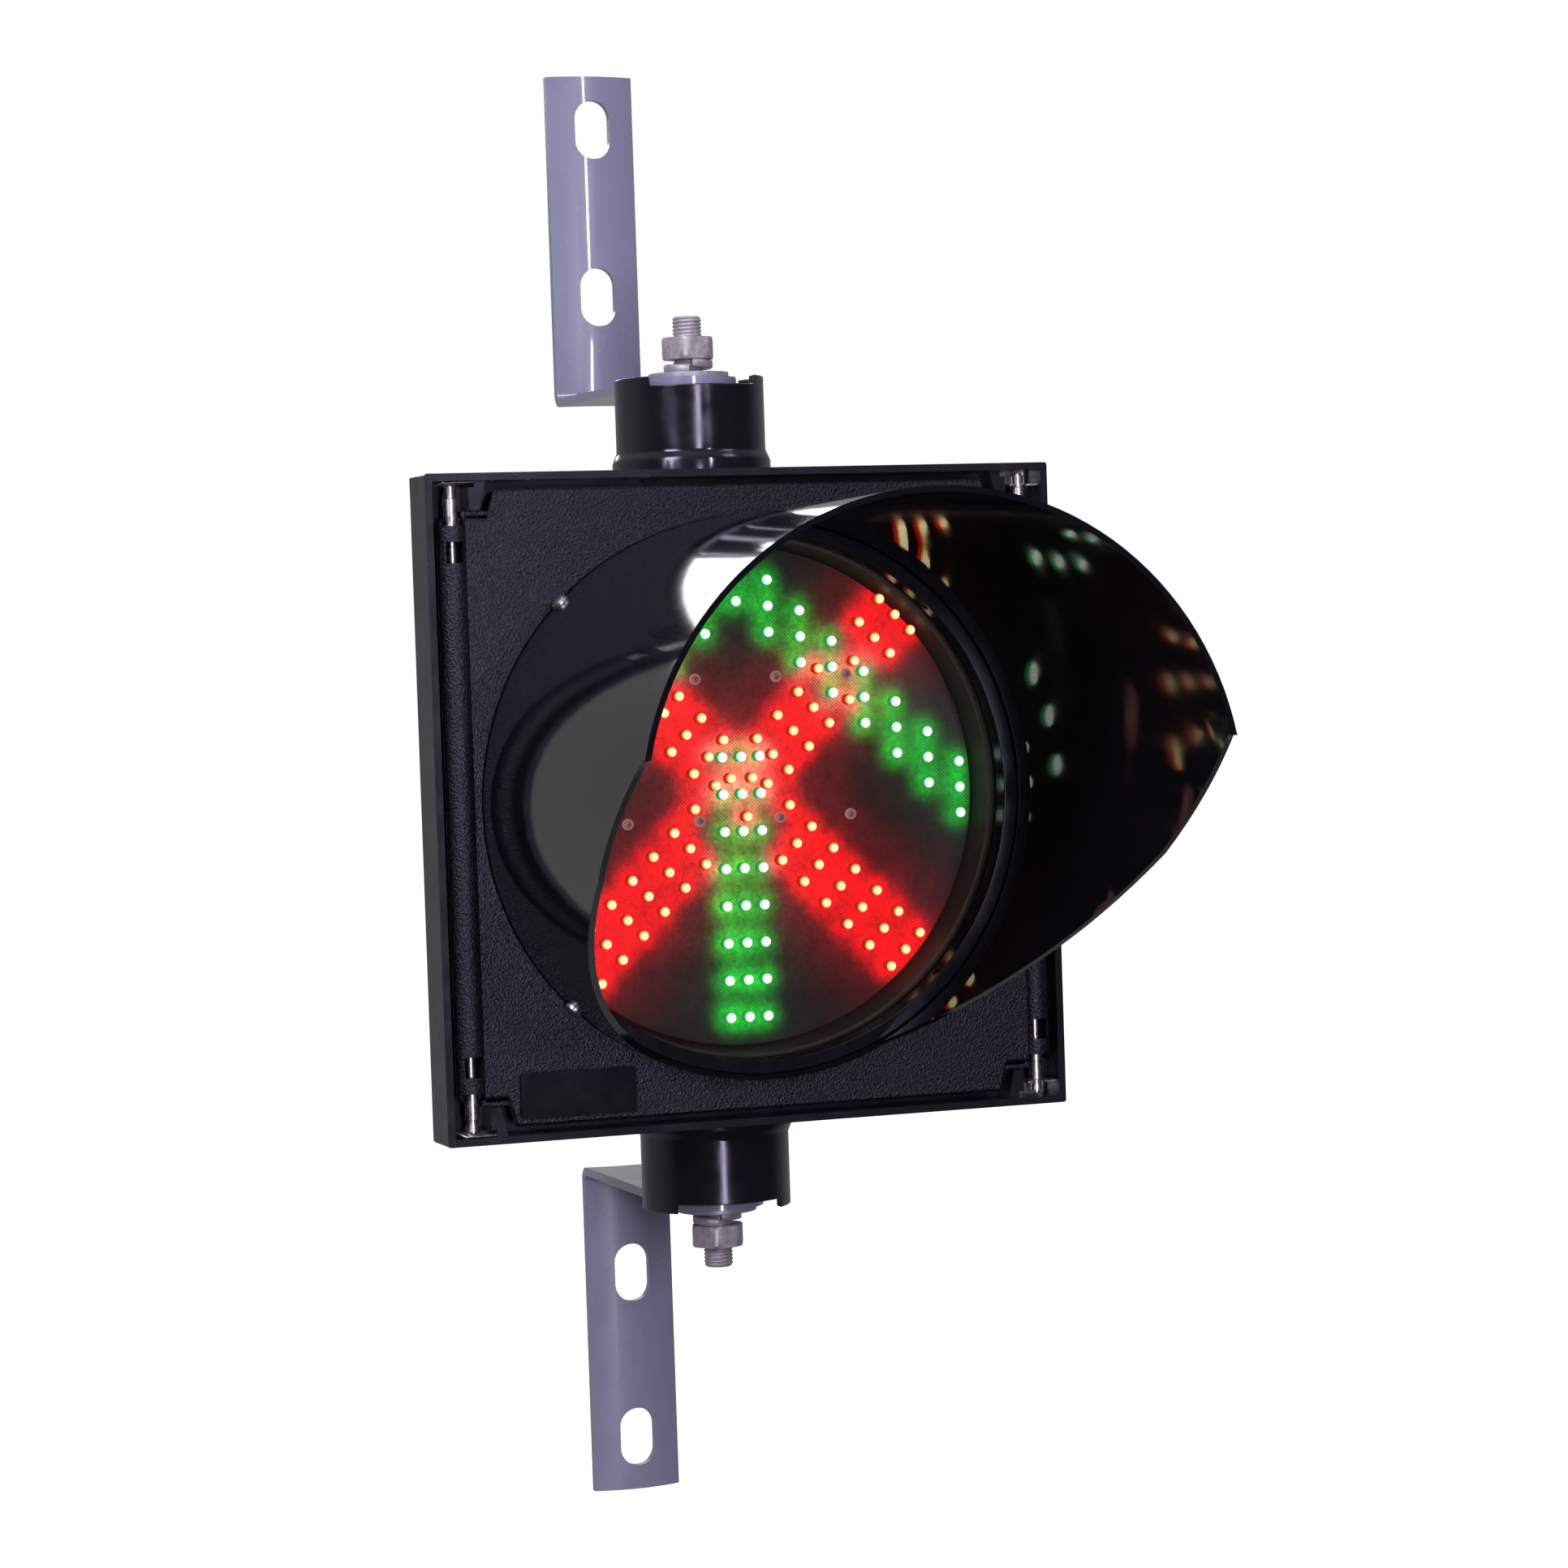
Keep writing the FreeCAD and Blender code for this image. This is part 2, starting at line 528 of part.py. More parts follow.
def make_door():
    body = new_body("door_panel")
    corner = [("notch_half", "barrel_end"), ("notch_half_top", "door_top")]
    points = [("panel_side", "-barrel_end"), ("panel_side", "barrel_end")]
    points += corner
    points += [("-" + x, z) for x, z in reversed(corner)]
    points += [("-panel_side", "barrel_end"), ("-panel_side", "-barrel_end")]
    points += [("-" + x, "-" + z) for x, z in corner]
    points += [(x, "-" + z) for x, z in reversed(corner)]
    panel = slab(body, "XZ_Plane", "door_face", "door_back", lambda s: outline(s, points))
    doc.recompute()
    face = mm("door_face")
    bevel = body.newObject("PartDesign::Chamfer", "door_bevel_edge")
    bevel.Base = (panel, edges_where(panel, lambda edge, middle: abs(middle.y - face) < 0.01))
    bevel.setExpression("Size", full("door_bevel"))
    slab(body, "XZ_Plane", "door_back - 1", "rib_depth",
         lambda s: (square(s, "rib_half"), square(s, "rib_inner")))
    for side in ("", "-"):
        slab(body, "XY_Plane", "-barrel_end", "barrel_end",
             lambda s: ring_edge(s, "barrel", side + "pin_x", "pin_depth"))
        low, high = sorted((side + "door_top", side + "(door_top - skirt_thick)"), key=mm)
        slab(body, "XZ_Plane", "door_back - 1", "skirt_depth",
             lambda s: box_outline(s, "-skirt_half", "skirt_half", low, high))
    slab(body, "XZ_Plane", "-2", "door_back + 2", lambda s: ring_edge(s, "door_hole"), cut=True)
    for side in ("", "-"):
        for level in ("", "-"):
            cut_pin_way(body, side, level)
    slab(body, "XZ_Plane", "-1", "door_face + label_sink",
         lambda s: box_outline(s, "label_left", "label_right", "label_low", "label_high"),
         cut=True)
    slab(body, "XZ_Plane", "clip_screw_deep", "door_back + 1",
         lambda s: [ring_edge(s, "clip_screw", x, z) for x, z in around("clip_screw_at")],
         cut=True)
    place(body, y="front_y")
    keep(body)


def cut_pin_way(body, side, level):
    """One corner's bores for the pin, the window at its shank and the notch at its end."""
    for bore, near in (("pin_bore", "pin_bore_low"), ("tail_bore", "tail_bore_low")):
        low, high = sorted((level + near, level + "(barrel_end + 1)"), key=mm)
        slab(body, "XY_Plane", low, high,
             lambda s: ring_edge(s, bore, side + "pin_x", "pin_depth"), cut=True)
    for half, low, high, depth in (
            ("window_half", "window_low", "window_high", "pin_depth"),
            ("pin_notch_half", "pin_notch_low", "(barrel_end + 1)", "pin_notch_depth")):
        low, high = sorted((level + low, level + high), key=mm)
        left, right = side + "pin_x - " + half, side + "pin_x + " + half
        slab(body, "XZ_Plane", "-4", depth,
             lambda s: box_outline(s, left, right, low, high), cut=True)


def around(radius):
    """Formulas of eight points spread evenly on a circle, the first at 22.5 degrees."""
    return [("%s*cos(%g)" % (radius, 22.5 + 45 * i), "%s*sin(%g)" % (radius, 22.5 + 45 * i))
            for i in range(8)]


def make_door_gasket():
    body = new_body("door_gasket")
    slab(body, "XZ_Plane", "rib_depth", "flange_front - 0.2",
         lambda s: (square(s, "(rib_half + 0.2)"), square(s, "(rib_inner - 1)")))
    place(body, y="front_y")
    keep(body)


def make_pins():
    """Sprung captive pins in the door's four corners; the left pair is the hinge."""
    pin = new_body("pin_upper_right")
    turned(pin, [("0", "pin_tail"), ("pin", "pin_tail"), ("pin", "pin_flange_low"),
                 ("pin_flange", "pin_flange_low"), ("pin_flange", "pin_flange_high"),
                 ("pin", "pin_flange_high"), ("pin", "shoulder_low"),
                 ("shoulder", "shoulder_low + 1"), ("shoulder", "groove_low - 0.3"),
                 ("shoulder - 0.3", "groove_low"), ("groove", "groove_low"),
                 ("groove", "groove_high"), ("flare", "flare_top"), ("spigot", "flare_top"),
                 ("spigot", "spigot_top - 0.4"), ("spigot - 0.4", "spigot_top"),
                 ("0", "spigot_top")])
    spring = make_pin_spring()
    for item, lift in ((pin, "0"), (spring, "pin_bore_low + spring_wire")):
        place(item, "pin_x", "front_y + pin_depth", lift)
        keep(item)
    for item in (pin, spring):
        name = item.Label
        mirrored(name.replace("right", "left"), item, RIGHT)
        low = mirrored(name.replace("upper", "lower"), item, UP)
        mirrored(name.replace("upper", "lower").replace("right", "left"), low, RIGHT)


def make_pin_spring():
    """A coil spring round the pin's tail: a helix swept with a round wire."""
    wire = mm("spring_wire")
    tall = mm("pin_flange_low - pin_bore_low") - 2 * wire
    radius = mm("pin_bore") - 0.5 - wire
    helix = Part.makeHelix(tall / mm("spring_turns"), tall, radius)
    section = Part.Wire([Part.makeCircle(wire, FreeCAD.Vector(radius, 0, 0),
                                         FreeCAD.Vector(0, 1, 0))])
    coil = Part.Wire(helix.Edges).makePipeShell([section], True, True)
    spring = doc.addObject("Part::Feature", "pin_spring_upper_right")
    spring.Shape = coil
    spring.Label = "pin_spring_upper_right"
    return spring


def make_pin_bushes():
    """Guide bushes in the barrels, one for each pin's shoulder."""
    bush = new_body("bush_shape")
    slab(bush, "XY_Plane", "bush_low", "pin_notch_low",
         lambda s: (ring_edge(s, "pin_bore"), ring_edge(s, "bush_bore")))
    doc.recompute()
    shape = bush.Shape.copy()
    shape.translate(FreeCAD.Vector(mm("pin_x"), mm("front_y + pin_depth"), 0))
    origin = FreeCAD.Vector(0, 0, 0)
    shapes = [shape, shape.mirror(origin, RIGHT)]
    shapes += [upper.mirror(origin, UP) for upper in shapes]
    node = doc.addObject("Part::Feature", "pin_bushes")
    node.Shape = Part.makeCompound(shapes)
    keep(node, "pin_bushes")


def make_corner_plates():
    """Thin stainless plates in the housing corners that the door pins pass through."""
    hinge = new_body("hinge_plate_shape")
    low, high = "hinge_plate_low", "hinge_plate_low + sheet"
    slab(hinge, "XY_Plane", low, high,
         lambda s: box_outline(s, "hinge_left", "hinge_right", "ramp_start", "flange_front"))
    slab(hinge, "YZ_Plane", "hinge_left", "hinge_right", lambda s: outline(s, [
        ("ramp_start", low), ("ramp_start", high), ("ramp_tip_depth + 0.7", "ramp_tip_z"),
        ("ramp_tip_depth", "ramp_tip_z - 0.7")]))
    slab(hinge, "XZ_Plane", "flange_front - sheet", "flange_front",
         lambda s: box_outline(s, "hinge_left", "hinge_right", low, "head_half - lip"))
    slab(hinge, "XY_Plane", low + " - 1", "head_half", lambda s: outline(s, [
        ("hinge_left - 1", "0"), ("hinge_left + ramp_corner", "0"),
        ("hinge_left + ramp_corner", "ramp_tip_depth"), ("hinge_left", "ramp_start + 1.5"),
        ("hinge_left - 1", "ramp_start + 1.5")]), cut=True)
    slab(hinge, "XY_Plane", low + " - 1", high + " + 1",
         lambda s: ring_edge(s, "hinge_hole", "-pin_x", "pin_depth"), cut=True)
    both_levels("corner_plates_hinge", hinge)

    latch = new_body("latch_plate_shape")
    low, high = "latch_plate_low", "latch_plate_low + sheet"
    slab(latch, "XY_Plane", low, high,
         lambda s: box_outline(s, "latch_left", "latch_right", "1", "flange_front"))
    slab(latch, "XZ_Plane", "flange_front - sheet", "flange_front",
         lambda s: box_outline(s, "latch_left", "latch_right", low, "head_half - lip"))
    slab(latch, "XY_Plane", low + " - 1", high + " + 1", lambda s: outline(s, [
        ("pin_x - latch_slot_half", "0"), ("pin_x + latch_slot_half", "0"),
        ("pin_x + latch_slot_half", "pin_depth + latch_slot_half"),
        ("pin_x - latch_slot_half", "pin_depth + latch_slot_half")]), cut=True)
    both_levels("corner_plates_latch", latch)


def both_levels(label, prototype):
    """One node of an upper piece and its mirror image below, in the head's place."""
    doc.recompute()
    upper = prototype.Shape.copy()
    lower = upper.mirror(FreeCAD.Vector(0, 0, 0), UP)
    for shape in (upper, lower):
        shape.translate(FreeCAD.Vector(0, mm("front_y"), 0))
    node = doc.addObject("Part::Feature", label)
    node.Shape = Part.makeCompound([upper, lower])
    keep(node, label)


def make_visor():
    body = new_body("visor")
    tip, seat = "-visor_long", "visor_seat"
    turned(body, [("visor_base", seat), ("visor_tip", tip), ("visor_tip - visor_wall", tip),
                  ("visor_base - visor_wall", seat)], role="XY_Plane")
    below = "-visor_tip - 5"
    slab(body, "YZ_Plane", "-visor_tip - 5", "visor_tip + 5", lambda s: outline(s, [
        ("-visor_long - 5", "visor_cut_z"), ("-visor_long + 4", "visor_cut_z"),
        ("-visor_long*0.70", "-visor_cut_z"), ("-visor_long*0.46", "-visor_cut_z*2.3"),
        ("-visor_foot", "-visor_base*0.9"), ("-visor_foot", below), ("-visor_long - 5", below)]),
        cut=True)
    for turn in range(4):
        cut_radial(body, 45 + 90 * turn)
    place(body, y="front_y")
    keep(body)


def make_visor_screws():
    """Pan-head screws, radial at 45 degrees, that hold the visor to the lens ring."""
    screw = new_body("visor_screw_shape")
    seat = "(visor_base + 0.3)"
    turned(screw, [("0", "ring_outer - 5"), ("visor_screw", "ring_outer - 5"),
                   ("visor_screw", seat), ("visor_screw_head", seat),
                   ("visor_screw_head - 0.4", seat + " + 1.8"),
                   ("visor_screw_head - 2", seat + " + 2.7"), ("0", seat + " + 2.9")])
    lift = at(0, mm("front_y + visor_screw_depth"), 0)
    places = [lift.multiply(turn_y(45 + 90 * i)) for i in range(4)]
    group("visor_screws", screw, places)


def cut_radial(body, degrees):
    """A screw hole through a turned wall, along a radius in the X-Z plane."""
    hole = body.newObject("PartDesign::SubtractiveCylinder", body.Name + "_radial")
    hole.setExpression("Radius", full("visor_screw + 0.1"))
    hole.Height = 14
    start = FreeCAD.Vector(0, 0, mm("ring_outer") - 9)
    lift = at(0, mm("visor_screw_depth"), 0)
    hole.Placement = lift.multiply(turn_y(degrees)).multiply(at(*start))


# ------------------------------------------------------------------ optical module

def make_lens_set():
    ring = new_body("lens_ring")
    turned(ring, [("ring_inner", "ring_front"), ("ring_outer", "ring_front"),
                  ("ring_outer", "visor_seat"), ("lens", "visor_seat"), ("lens", "0"),
                  ("ring_inner", "0")], role="XY_Plane")
    for turn in range(4):
        cut_radial(ring, 45 + 90 * turn)
    lens = new_body("lens")
    turned(lens, [("0", "0"), ("lens", "0"), ("lens", "lens_thick"), ("0", "lens_thick")],
           role="XY_Plane")
    gasket = new_body("lens_gasket")
    slab(gasket, "XZ_Plane", "lens_thick", "visor_seat",
         lambda s: (ring_edge(s, "lens"), ring_edge(s, "ring_inner")))
    for body in (ring, lens, gasket):
        place(body, y="front_y")
        keep(body)


def make_module():
    """The sealed cup behind the lens and the boards inside it."""
    cup = new_body("module_cup")
    floor = "module_depth - module_floor"
    turned(cup, [("ring_inner", "visor_seat"), ("module_flange", "visor_seat"),
                 ("module_flange", "module_flange_back"), ("module_outer", "module_flange_back"),
                 ("module_outer - module_taper", "module_depth"), ("0", "module_depth"),
                 ("0", floor), ("module_inner - module_taper", floor),
                 ("module_inner", "module_flange_back"), ("ring_inner", "module_flange_back")],
           role="XY_Plane")
    board = new_body("led_board")
    slab(board, "XZ_Plane", "board_front", "board_front + board_thick",
         lambda s: [ring_edge(s, "board")] + [ring_edge(s, "screw_hole", x, z)
                                              for x, z in SCREW_SPOTS])
    driver = new_body("driver_board")
    slab(driver, "XZ_Plane", "driver_depth", "driver_depth + board_thick",
         lambda s: [box_outline(s, "-driver_wide", "driver_wide", "-driver_tall",
                                "driver_tall")]
         + [ring_edge(s, "driver_hole", x, z) for x, z in SCREW_SPOTS if z == "screw_low"])
    coil = new_body("transformer")
    slab(coil, "XZ_Plane", "driver_depth - coil_tall", "driver_depth",
         lambda s: box_outline(s, "coil_left", "coil_right", "coil_low", "coil_high"))
    plug = new_body("module_connector")
    slab(plug, "XZ_Plane", "module_depth", "module_depth + plug_tall",
         lambda s: box_outline(s, "-plug_half", "plug_half", "plug_low", "plug_high"))
    slab(plug, "XZ_Plane", "module_depth + plug_floor", "module_depth + plug_tall + 1",
         lambda s: box_outline(s, "-plug_half + plug_wall", "plug_half - plug_wall",
                               "plug_low + plug_wall", "plug_high - plug_wall"), cut=True)
    for body in (cup, board, driver, coil, plug):
        place(body, y="front_y")
        keep(body)


SCREW_SPOTS = [(side + across, level) for side in ("", "-")
               for across in ("screw_far", "screw_near")
               for level in ("screw_high", "screw_low")]


def make_board_fixings():
    """Bored spacers between the cup's floor and the LED board, and the screws in them."""
    spacer = new_body("spacer_shape")
    floor = "(module_depth - module_floor)"
    board_back = "(board_front + board_thick)"
    tip = "%s + screw_deep" % board_back
    slab(spacer, "XZ_Plane", board_back, floor, lambda s: ring_edge(s, "spacer"))
    slab(spacer, "XZ_Plane", board_back + " - 1", tip + " + 1",
         lambda s: ring_edge(s, "screw_hole"), cut=True)
    screw = new_body("board_screw_shape")
    turned(screw, [("0", "board_front - 2"), ("screw_head - 1.4", "board_front - 2"),
                   ("screw_head", "board_front - 1.2"), ("screw_head", "board_front"),
                   ("screw_shank", "board_front"), ("screw_shank", tip), ("0", tip)],
           role="XY_Plane")
    spots = [at(mm(x), mm("front_y"), mm(z)) for x, z in SCREW_SPOTS]
    group("board_screws", screw, spots)
    group("board_spacers", spacer, spots)


def make_capacitors():
    can = new_body("capacitor_shape")
    top = "(driver_depth - can_tall)"
    turned(can, [("0", top), ("can - 0.5", top), ("can", top + " + 0.5"),
                 ("can", "driver_depth - 2.5"), ("can - 0.4", "driver_depth - 2"),
                 ("can - 0.4", "driver_depth"), ("0", "driver_depth")], role="XY_Plane")
    places = [at(mm("can_first") + mm("can_pitch") * i, mm("front_y"), mm("can_row") * j)
              for i in range(3) for j in SIGNS]
    group("capacitors", can, places)


def make_module_clips():
    """Steel clips screwed to the door's back that press the cup's flange forwards."""
    clip = new_body("module_clip_shape")
    over = "module_flange_back + clip_sheet"
    for left, right, front, back in (
            ("clip_inner", "clip_riser + clip_sheet", "module_flange_back", over),
            ("clip_riser", "clip_riser + clip_sheet", "door_back", over),
            ("clip_riser", "clip_outer", "door_back", "door_back + clip_sheet")):
        slab(clip, "XZ_Plane", front, back,
             lambda s: box_outline(s, left, right, "-clip_half", "clip_half"))
    slab(clip, "XZ_Plane", "door_back - 1", "door_back + clip_sheet + 1",
         lambda s: ring_edge(s, "(clip_screw + 0.1)", "clip_screw_at", "0"), cut=True)
    screw = new_body("module_screw_shape")
    seat = "(door_back + clip_sheet)"
    turned(screw, [("0", "clip_screw_deep"), ("clip_screw", "clip_screw_deep"),
                   ("clip_screw", seat), ("clip_screw_head", seat),
                   ("clip_screw_head", seat + " + 1.2"),
                   ("clip_screw_head - 1.2", seat + " + 2.2"), ("0", seat + " + 2.2")],
           role="XY_Plane")
    lift = at(0, mm("front_y"), 0)
    turns = [turn_y(22.5 + 45 * i) for i in range(8)]
    group("module_clips", clip, [lift.multiply(turn) for turn in turns])
    out = at(mm("clip_screw_at"), 0, 0)
    group("module_screws", screw, [lift.multiply(turn).multiply(out) for turn in turns])


def arrow_spots():
    """Centres of the arrow's LEDs: a blunt chevron three deep and a shaft three wide."""
    spots = []
    for column in range(-7, 8):
        for step in range(3):
            height = (mm("chevron_low") - mm("chevron_fall") * abs(column)
                      + mm("chevron_z") * step)
            if height < mm("chevron_limit"):
                spots.append((mm("chevron_x") * column, height))
    for row in range(8):
        for column in (-1, 0, 1):
            spots.append((mm("shaft_x") * column, mm("shaft_top") - mm("shaft_z") * row))
    return spots


def cross_spots(taken):
    """Centres of the cross's LEDs: two diagonal arms of three rows, clear of what is taken."""
    reach, gap, clear = mm("cross_reach"), mm("cross_gap"), mm("led_clear")
    count = int(mm("cross_rows"))
    spots = []
    for lean in SIGNS:
        for row in (-1, 0, 1):
            for i in range(count):
                along = -reach + 2 * reach * i / (count - 1)
                x = (along - row * gap * lean) / math.sqrt(2)
                z = (along * lean + row * gap) / math.sqrt(2)
                if all(math.hypot(x - a, z - b) > clear for a, b in taken + spots):
                    spots.append((x, z))
    return spots


def make_leds():
    lamp = new_body("led_shape")
    turned(lamp, [("0", "led_front"), ("led*0.5", "led_front + 0.35"),
                  ("led*0.87", "led_front + 1.25"), ("led", "led_front + 2.5"),
                  ("led", "board_front - 1"), ("led_collar", "board_front - 1"),
                  ("led_collar", "board_front"), ("0", "board_front")], role="XY_Plane")
    lift = mm("symbol_z")
    screws = [(mm(x), mm(z) - lift) for x, z in SCREW_SPOTS]
    green = arrow_spots()
    red = cross_spots(green + screws)
    for label, spots in (("green_leds", green), ("red_leds", red)):
        group(label, lamp, [at(x, mm("front_y"), z + lift) for x, z in spots])


# ------------------------------------------------------------------ build and write

def check_and_write():
    doc.recompute()
    for item in doc.Objects:
        if "Invalid" in item.State or "Error" in item.State:
            raise SystemExit("failed object: %s %s" % (item.Label, item.State))
    os.makedirs("parts", exist_ok=True)
    for item in parts:
        shape = item.Shape
        if shape.isNull() or not shape.isValid() or shape.Volume <= 0:
            raise SystemExit("bad shape: " + item.Label)
        shape.exportStep("parts/%s.step" % item.Label)
        box = shape.BoundBox
        print("%-26s %3d solids %10.0f mm3  x %.1f..%.1f  y %.1f..%.1f  z %.1f..%.1f" % (
            item.Label, len(shape.Solids), shape.Volume, box.XMin, box.XMax,
            box.YMin, box.YMax, box.ZMin, box.ZMax))
    print(len(parts), "nodes")


make_brackets()
make_housing_frame()
make_housing_shell()
make_housing_back()
make_grommet()
make_terminals()
make_hubs()
make_stud_set()
make_door()
make_door_gasket()
make_pins()
make_pin_bushes()
make_corner_plates()
make_visor()
make_lens_set()
make_visor_screws()
make_module()
make_board_fixings()
make_capacitors()
make_module_clips()
make_leds()
check_and_write()
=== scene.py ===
import math

import bmesh
import bpy
import numpy as np
from mathutils import Matrix, Vector


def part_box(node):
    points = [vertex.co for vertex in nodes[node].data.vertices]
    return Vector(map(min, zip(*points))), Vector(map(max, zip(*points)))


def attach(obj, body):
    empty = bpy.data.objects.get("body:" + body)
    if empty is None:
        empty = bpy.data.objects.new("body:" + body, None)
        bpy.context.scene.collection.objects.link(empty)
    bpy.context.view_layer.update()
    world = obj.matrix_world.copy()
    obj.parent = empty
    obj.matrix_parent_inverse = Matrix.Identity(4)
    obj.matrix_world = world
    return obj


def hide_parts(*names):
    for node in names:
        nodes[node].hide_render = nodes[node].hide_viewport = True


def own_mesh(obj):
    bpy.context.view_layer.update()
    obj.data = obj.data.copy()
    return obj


# A lane-control signal: black square head, inset door, long cut-away visor, LED cross and
# arrow, and two coated steel brackets. Everything is in metres in the CAD frame: +Z up,
# the lit face looks along -Y, and Y = 0 is the pole side of the brackets.

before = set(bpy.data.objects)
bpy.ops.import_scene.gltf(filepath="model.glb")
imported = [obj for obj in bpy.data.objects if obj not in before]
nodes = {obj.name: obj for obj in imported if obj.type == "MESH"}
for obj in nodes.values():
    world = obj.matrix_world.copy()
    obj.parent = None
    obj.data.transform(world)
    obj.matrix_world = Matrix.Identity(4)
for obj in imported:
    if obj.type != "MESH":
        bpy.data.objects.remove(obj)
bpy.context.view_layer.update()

MM = 0.001
FRONT_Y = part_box("housing_frame")[0].y


# ------------------------------------------------------------------ camera, floor, light

CAMERA_AZIMUTH = 19.85
CAMERA_ELEVATION = 2.02
CAMERA_ROLL = -1.92
CAMERA_DISTANCE = 2.2096
CAMERA_TARGET = Vector((0.0168, FRONT_Y, 0.0062))
LENS_MM = 95.1
FLOOR_Z = -1.25
FLOOR_HALF = 30
FLOOR_GLOW = 0.85


def add_camera():
    azimuth = math.radians(CAMERA_AZIMUTH)
    elevation = math.radians(CAMERA_ELEVATION)
    back = Vector((-math.sin(azimuth) * math.cos(elevation),
                   -math.cos(azimuth) * math.cos(elevation), math.sin(elevation)))
    right = (-back).cross(Vector((0, 0, 1))).normalized()
    up = back.cross(right)
    turn = Matrix((right, up, back)).transposed().to_4x4()
    roll = Matrix.Rotation(math.radians(CAMERA_ROLL), 4, "Z")
    camera = bpy.data.objects.new("camera", bpy.data.cameras.new("camera"))
    camera.data.lens = LENS_MM
    camera.data.sensor_width = 36
    place = Matrix.Translation(CAMERA_TARGET + back * CAMERA_DISTANCE)
    camera.matrix_world = place @ turn @ roll
    bpy.context.scene.collection.objects.link(camera)
    bpy.context.scene.camera = camera


def add_floor():
    """A white floor that glows by itself, and that the object's gloss and shade don't see."""
    mesh = bpy.data.meshes.new("floor")
    corners = [(FLOOR_HALF * x, FLOOR_HALF * y, FLOOR_Z)
               for x, y in ((-1, -1), (1, -1), (1, 1), (-1, 1))]
    mesh.from_pydata(corners, [], [(0, 1, 2, 3)])
    floor = bpy.data.objects.new("floor", mesh)
    bpy.context.scene.collection.objects.link(floor)
    paint = bpy.data.materials.new("floor_pale")
    paint.use_nodes = True
    shader = paint.node_tree.nodes["Principled BSDF"]
    shader.inputs["Base Color"].default_value = (0.9, 0.9, 0.9, 1)
    shader.inputs["Roughness"].default_value = 0.9
    shader.inputs["Emission Color"].default_value = (1, 1, 1, 1)
    shader.inputs["Emission Strength"].default_value = FLOOR_GLOW
    mesh.materials.append(paint)
    floor.visible_glossy = False
    floor.visible_diffuse = False


def add_light(name, place, target, size, power, colour):
    data = bpy.data.lights.new(name, "AREA")
    data.shape = "RECTANGLE"
    data.size, data.size_y = size
    data.energy = power
    data.color = colour
    lamp = bpy.data.objects.new(name, data)
    lamp.location = place
    aim = Vector(target) - Vector(place)
    lamp.rotation_euler = aim.to_track_quat("-Z", "Y").to_euler()
    bpy.context.scene.collection.objects.link(lamp)


# each row: axis, where the ramp starts and ends, and its strength at both ends
ROOM_LIGHT = (("Y", -0.3, 0.5, 0.035, 0.30), ("Z", 0.1, 0.9, 0.0, 0.35))


def add_world():
    """White to look at, and a dim room for the gloss: dark in front, grey behind and above."""
    world = bpy.data.worlds.new("studio")
    bpy.context.scene.world = world
    world.use_nodes = True
    tree = world.node_tree
    tree.nodes.clear()
    link = tree.links.new
    output = tree.nodes.new("ShaderNodeOutputWorld")
    room = tree.nodes.new("ShaderNodeBackground")
    seen = tree.nodes.new("ShaderNodeBackground")
    seen.inputs["Color"].default_value = (1, 1, 1, 1)
    seen.inputs["Strength"].default_value = 1.0
    mix = tree.nodes.new("ShaderNodeMixShader")
    path = tree.nodes.new("ShaderNodeLightPath")
    direction = tree.nodes.new("ShaderNodeTexCoord")
    split = tree.nodes.new("ShaderNodeSeparateXYZ")
    link(direction.outputs["Generated"], split.inputs[0])
    total = tree.nodes.new("ShaderNodeMath")
    for index, (axis, start, end, low, high) in enumerate(ROOM_LIGHT):
        ramp = tree.nodes.new("ShaderNodeMapRange")
        ramp.interpolation_type = "SMOOTHSTEP"
        for socket, value in zip(("From Min", "From Max", "To Min", "To Max"),
                                 (start, end, low, high)):
            ramp.inputs[socket].default_value = value
        link(split.outputs[axis], ramp.inputs["Value"])
        link(ramp.outputs["Result"], total.inputs[index])
    link(total.outputs[0], room.inputs["Strength"])
    link(path.outputs["Is Camera Ray"], mix.inputs["Fac"])
    link(room.outputs[0], mix.inputs[1])
    link(seen.outputs[0], mix.inputs[2])
    link(mix.outputs[0], output.inputs["Surface"])


COOL = (0.93, 0.88, 1.0)
WHITE = (1, 1, 1)

# each row: name, place, the point it is aimed at, width and height, watts, colour
LIGHTS = (
    ("key_front", (-0.30, -3.1, -0.10), (0, FRONT_Y, -0.05), (0.30, 1.08), 26, COOL),
    ("strip_high", (0.47, -2.9, 0.84), (0, FRONT_Y, 0.3), (0.10, 0.58), 7, COOL),
    ("soft_left", (-2.0, -1.9, 1.2), (0, FRONT_Y, 0), (0.9, 1.2), 36, COOL),
    ("soft_right", (1.5, -1.7, 1.5), (0.1, FRONT_Y, 0.1), (0.7, 0.7), 4, COOL),
    ("top", (-0.5, -0.9, 2.3), (0, FRONT_Y, 0), (1.4, 0.8), 22, COOL),
    ("behind", (0.15, 2.4, 1.0), (0, FRONT_Y, 0.1), (1.5, 0.7), 14, WHITE),
)

bpy.context.scene.view_settings.view_transform = "Standard"
add_camera()
add_floor()
add_world()
for light in LIGHTS:
    add_light(*light)


# ------------------------------------------------------------------ materials

NOISE_SPAN = (0.3, 0.7)   # where most of a noise's values lie

# the Mix node has sockets for every kind of value; these are the ones for colours
MIX_FACTOR, MIX_FIRST, MIX_SECOND = 0, 6, 7
MIX_RESULT = 2


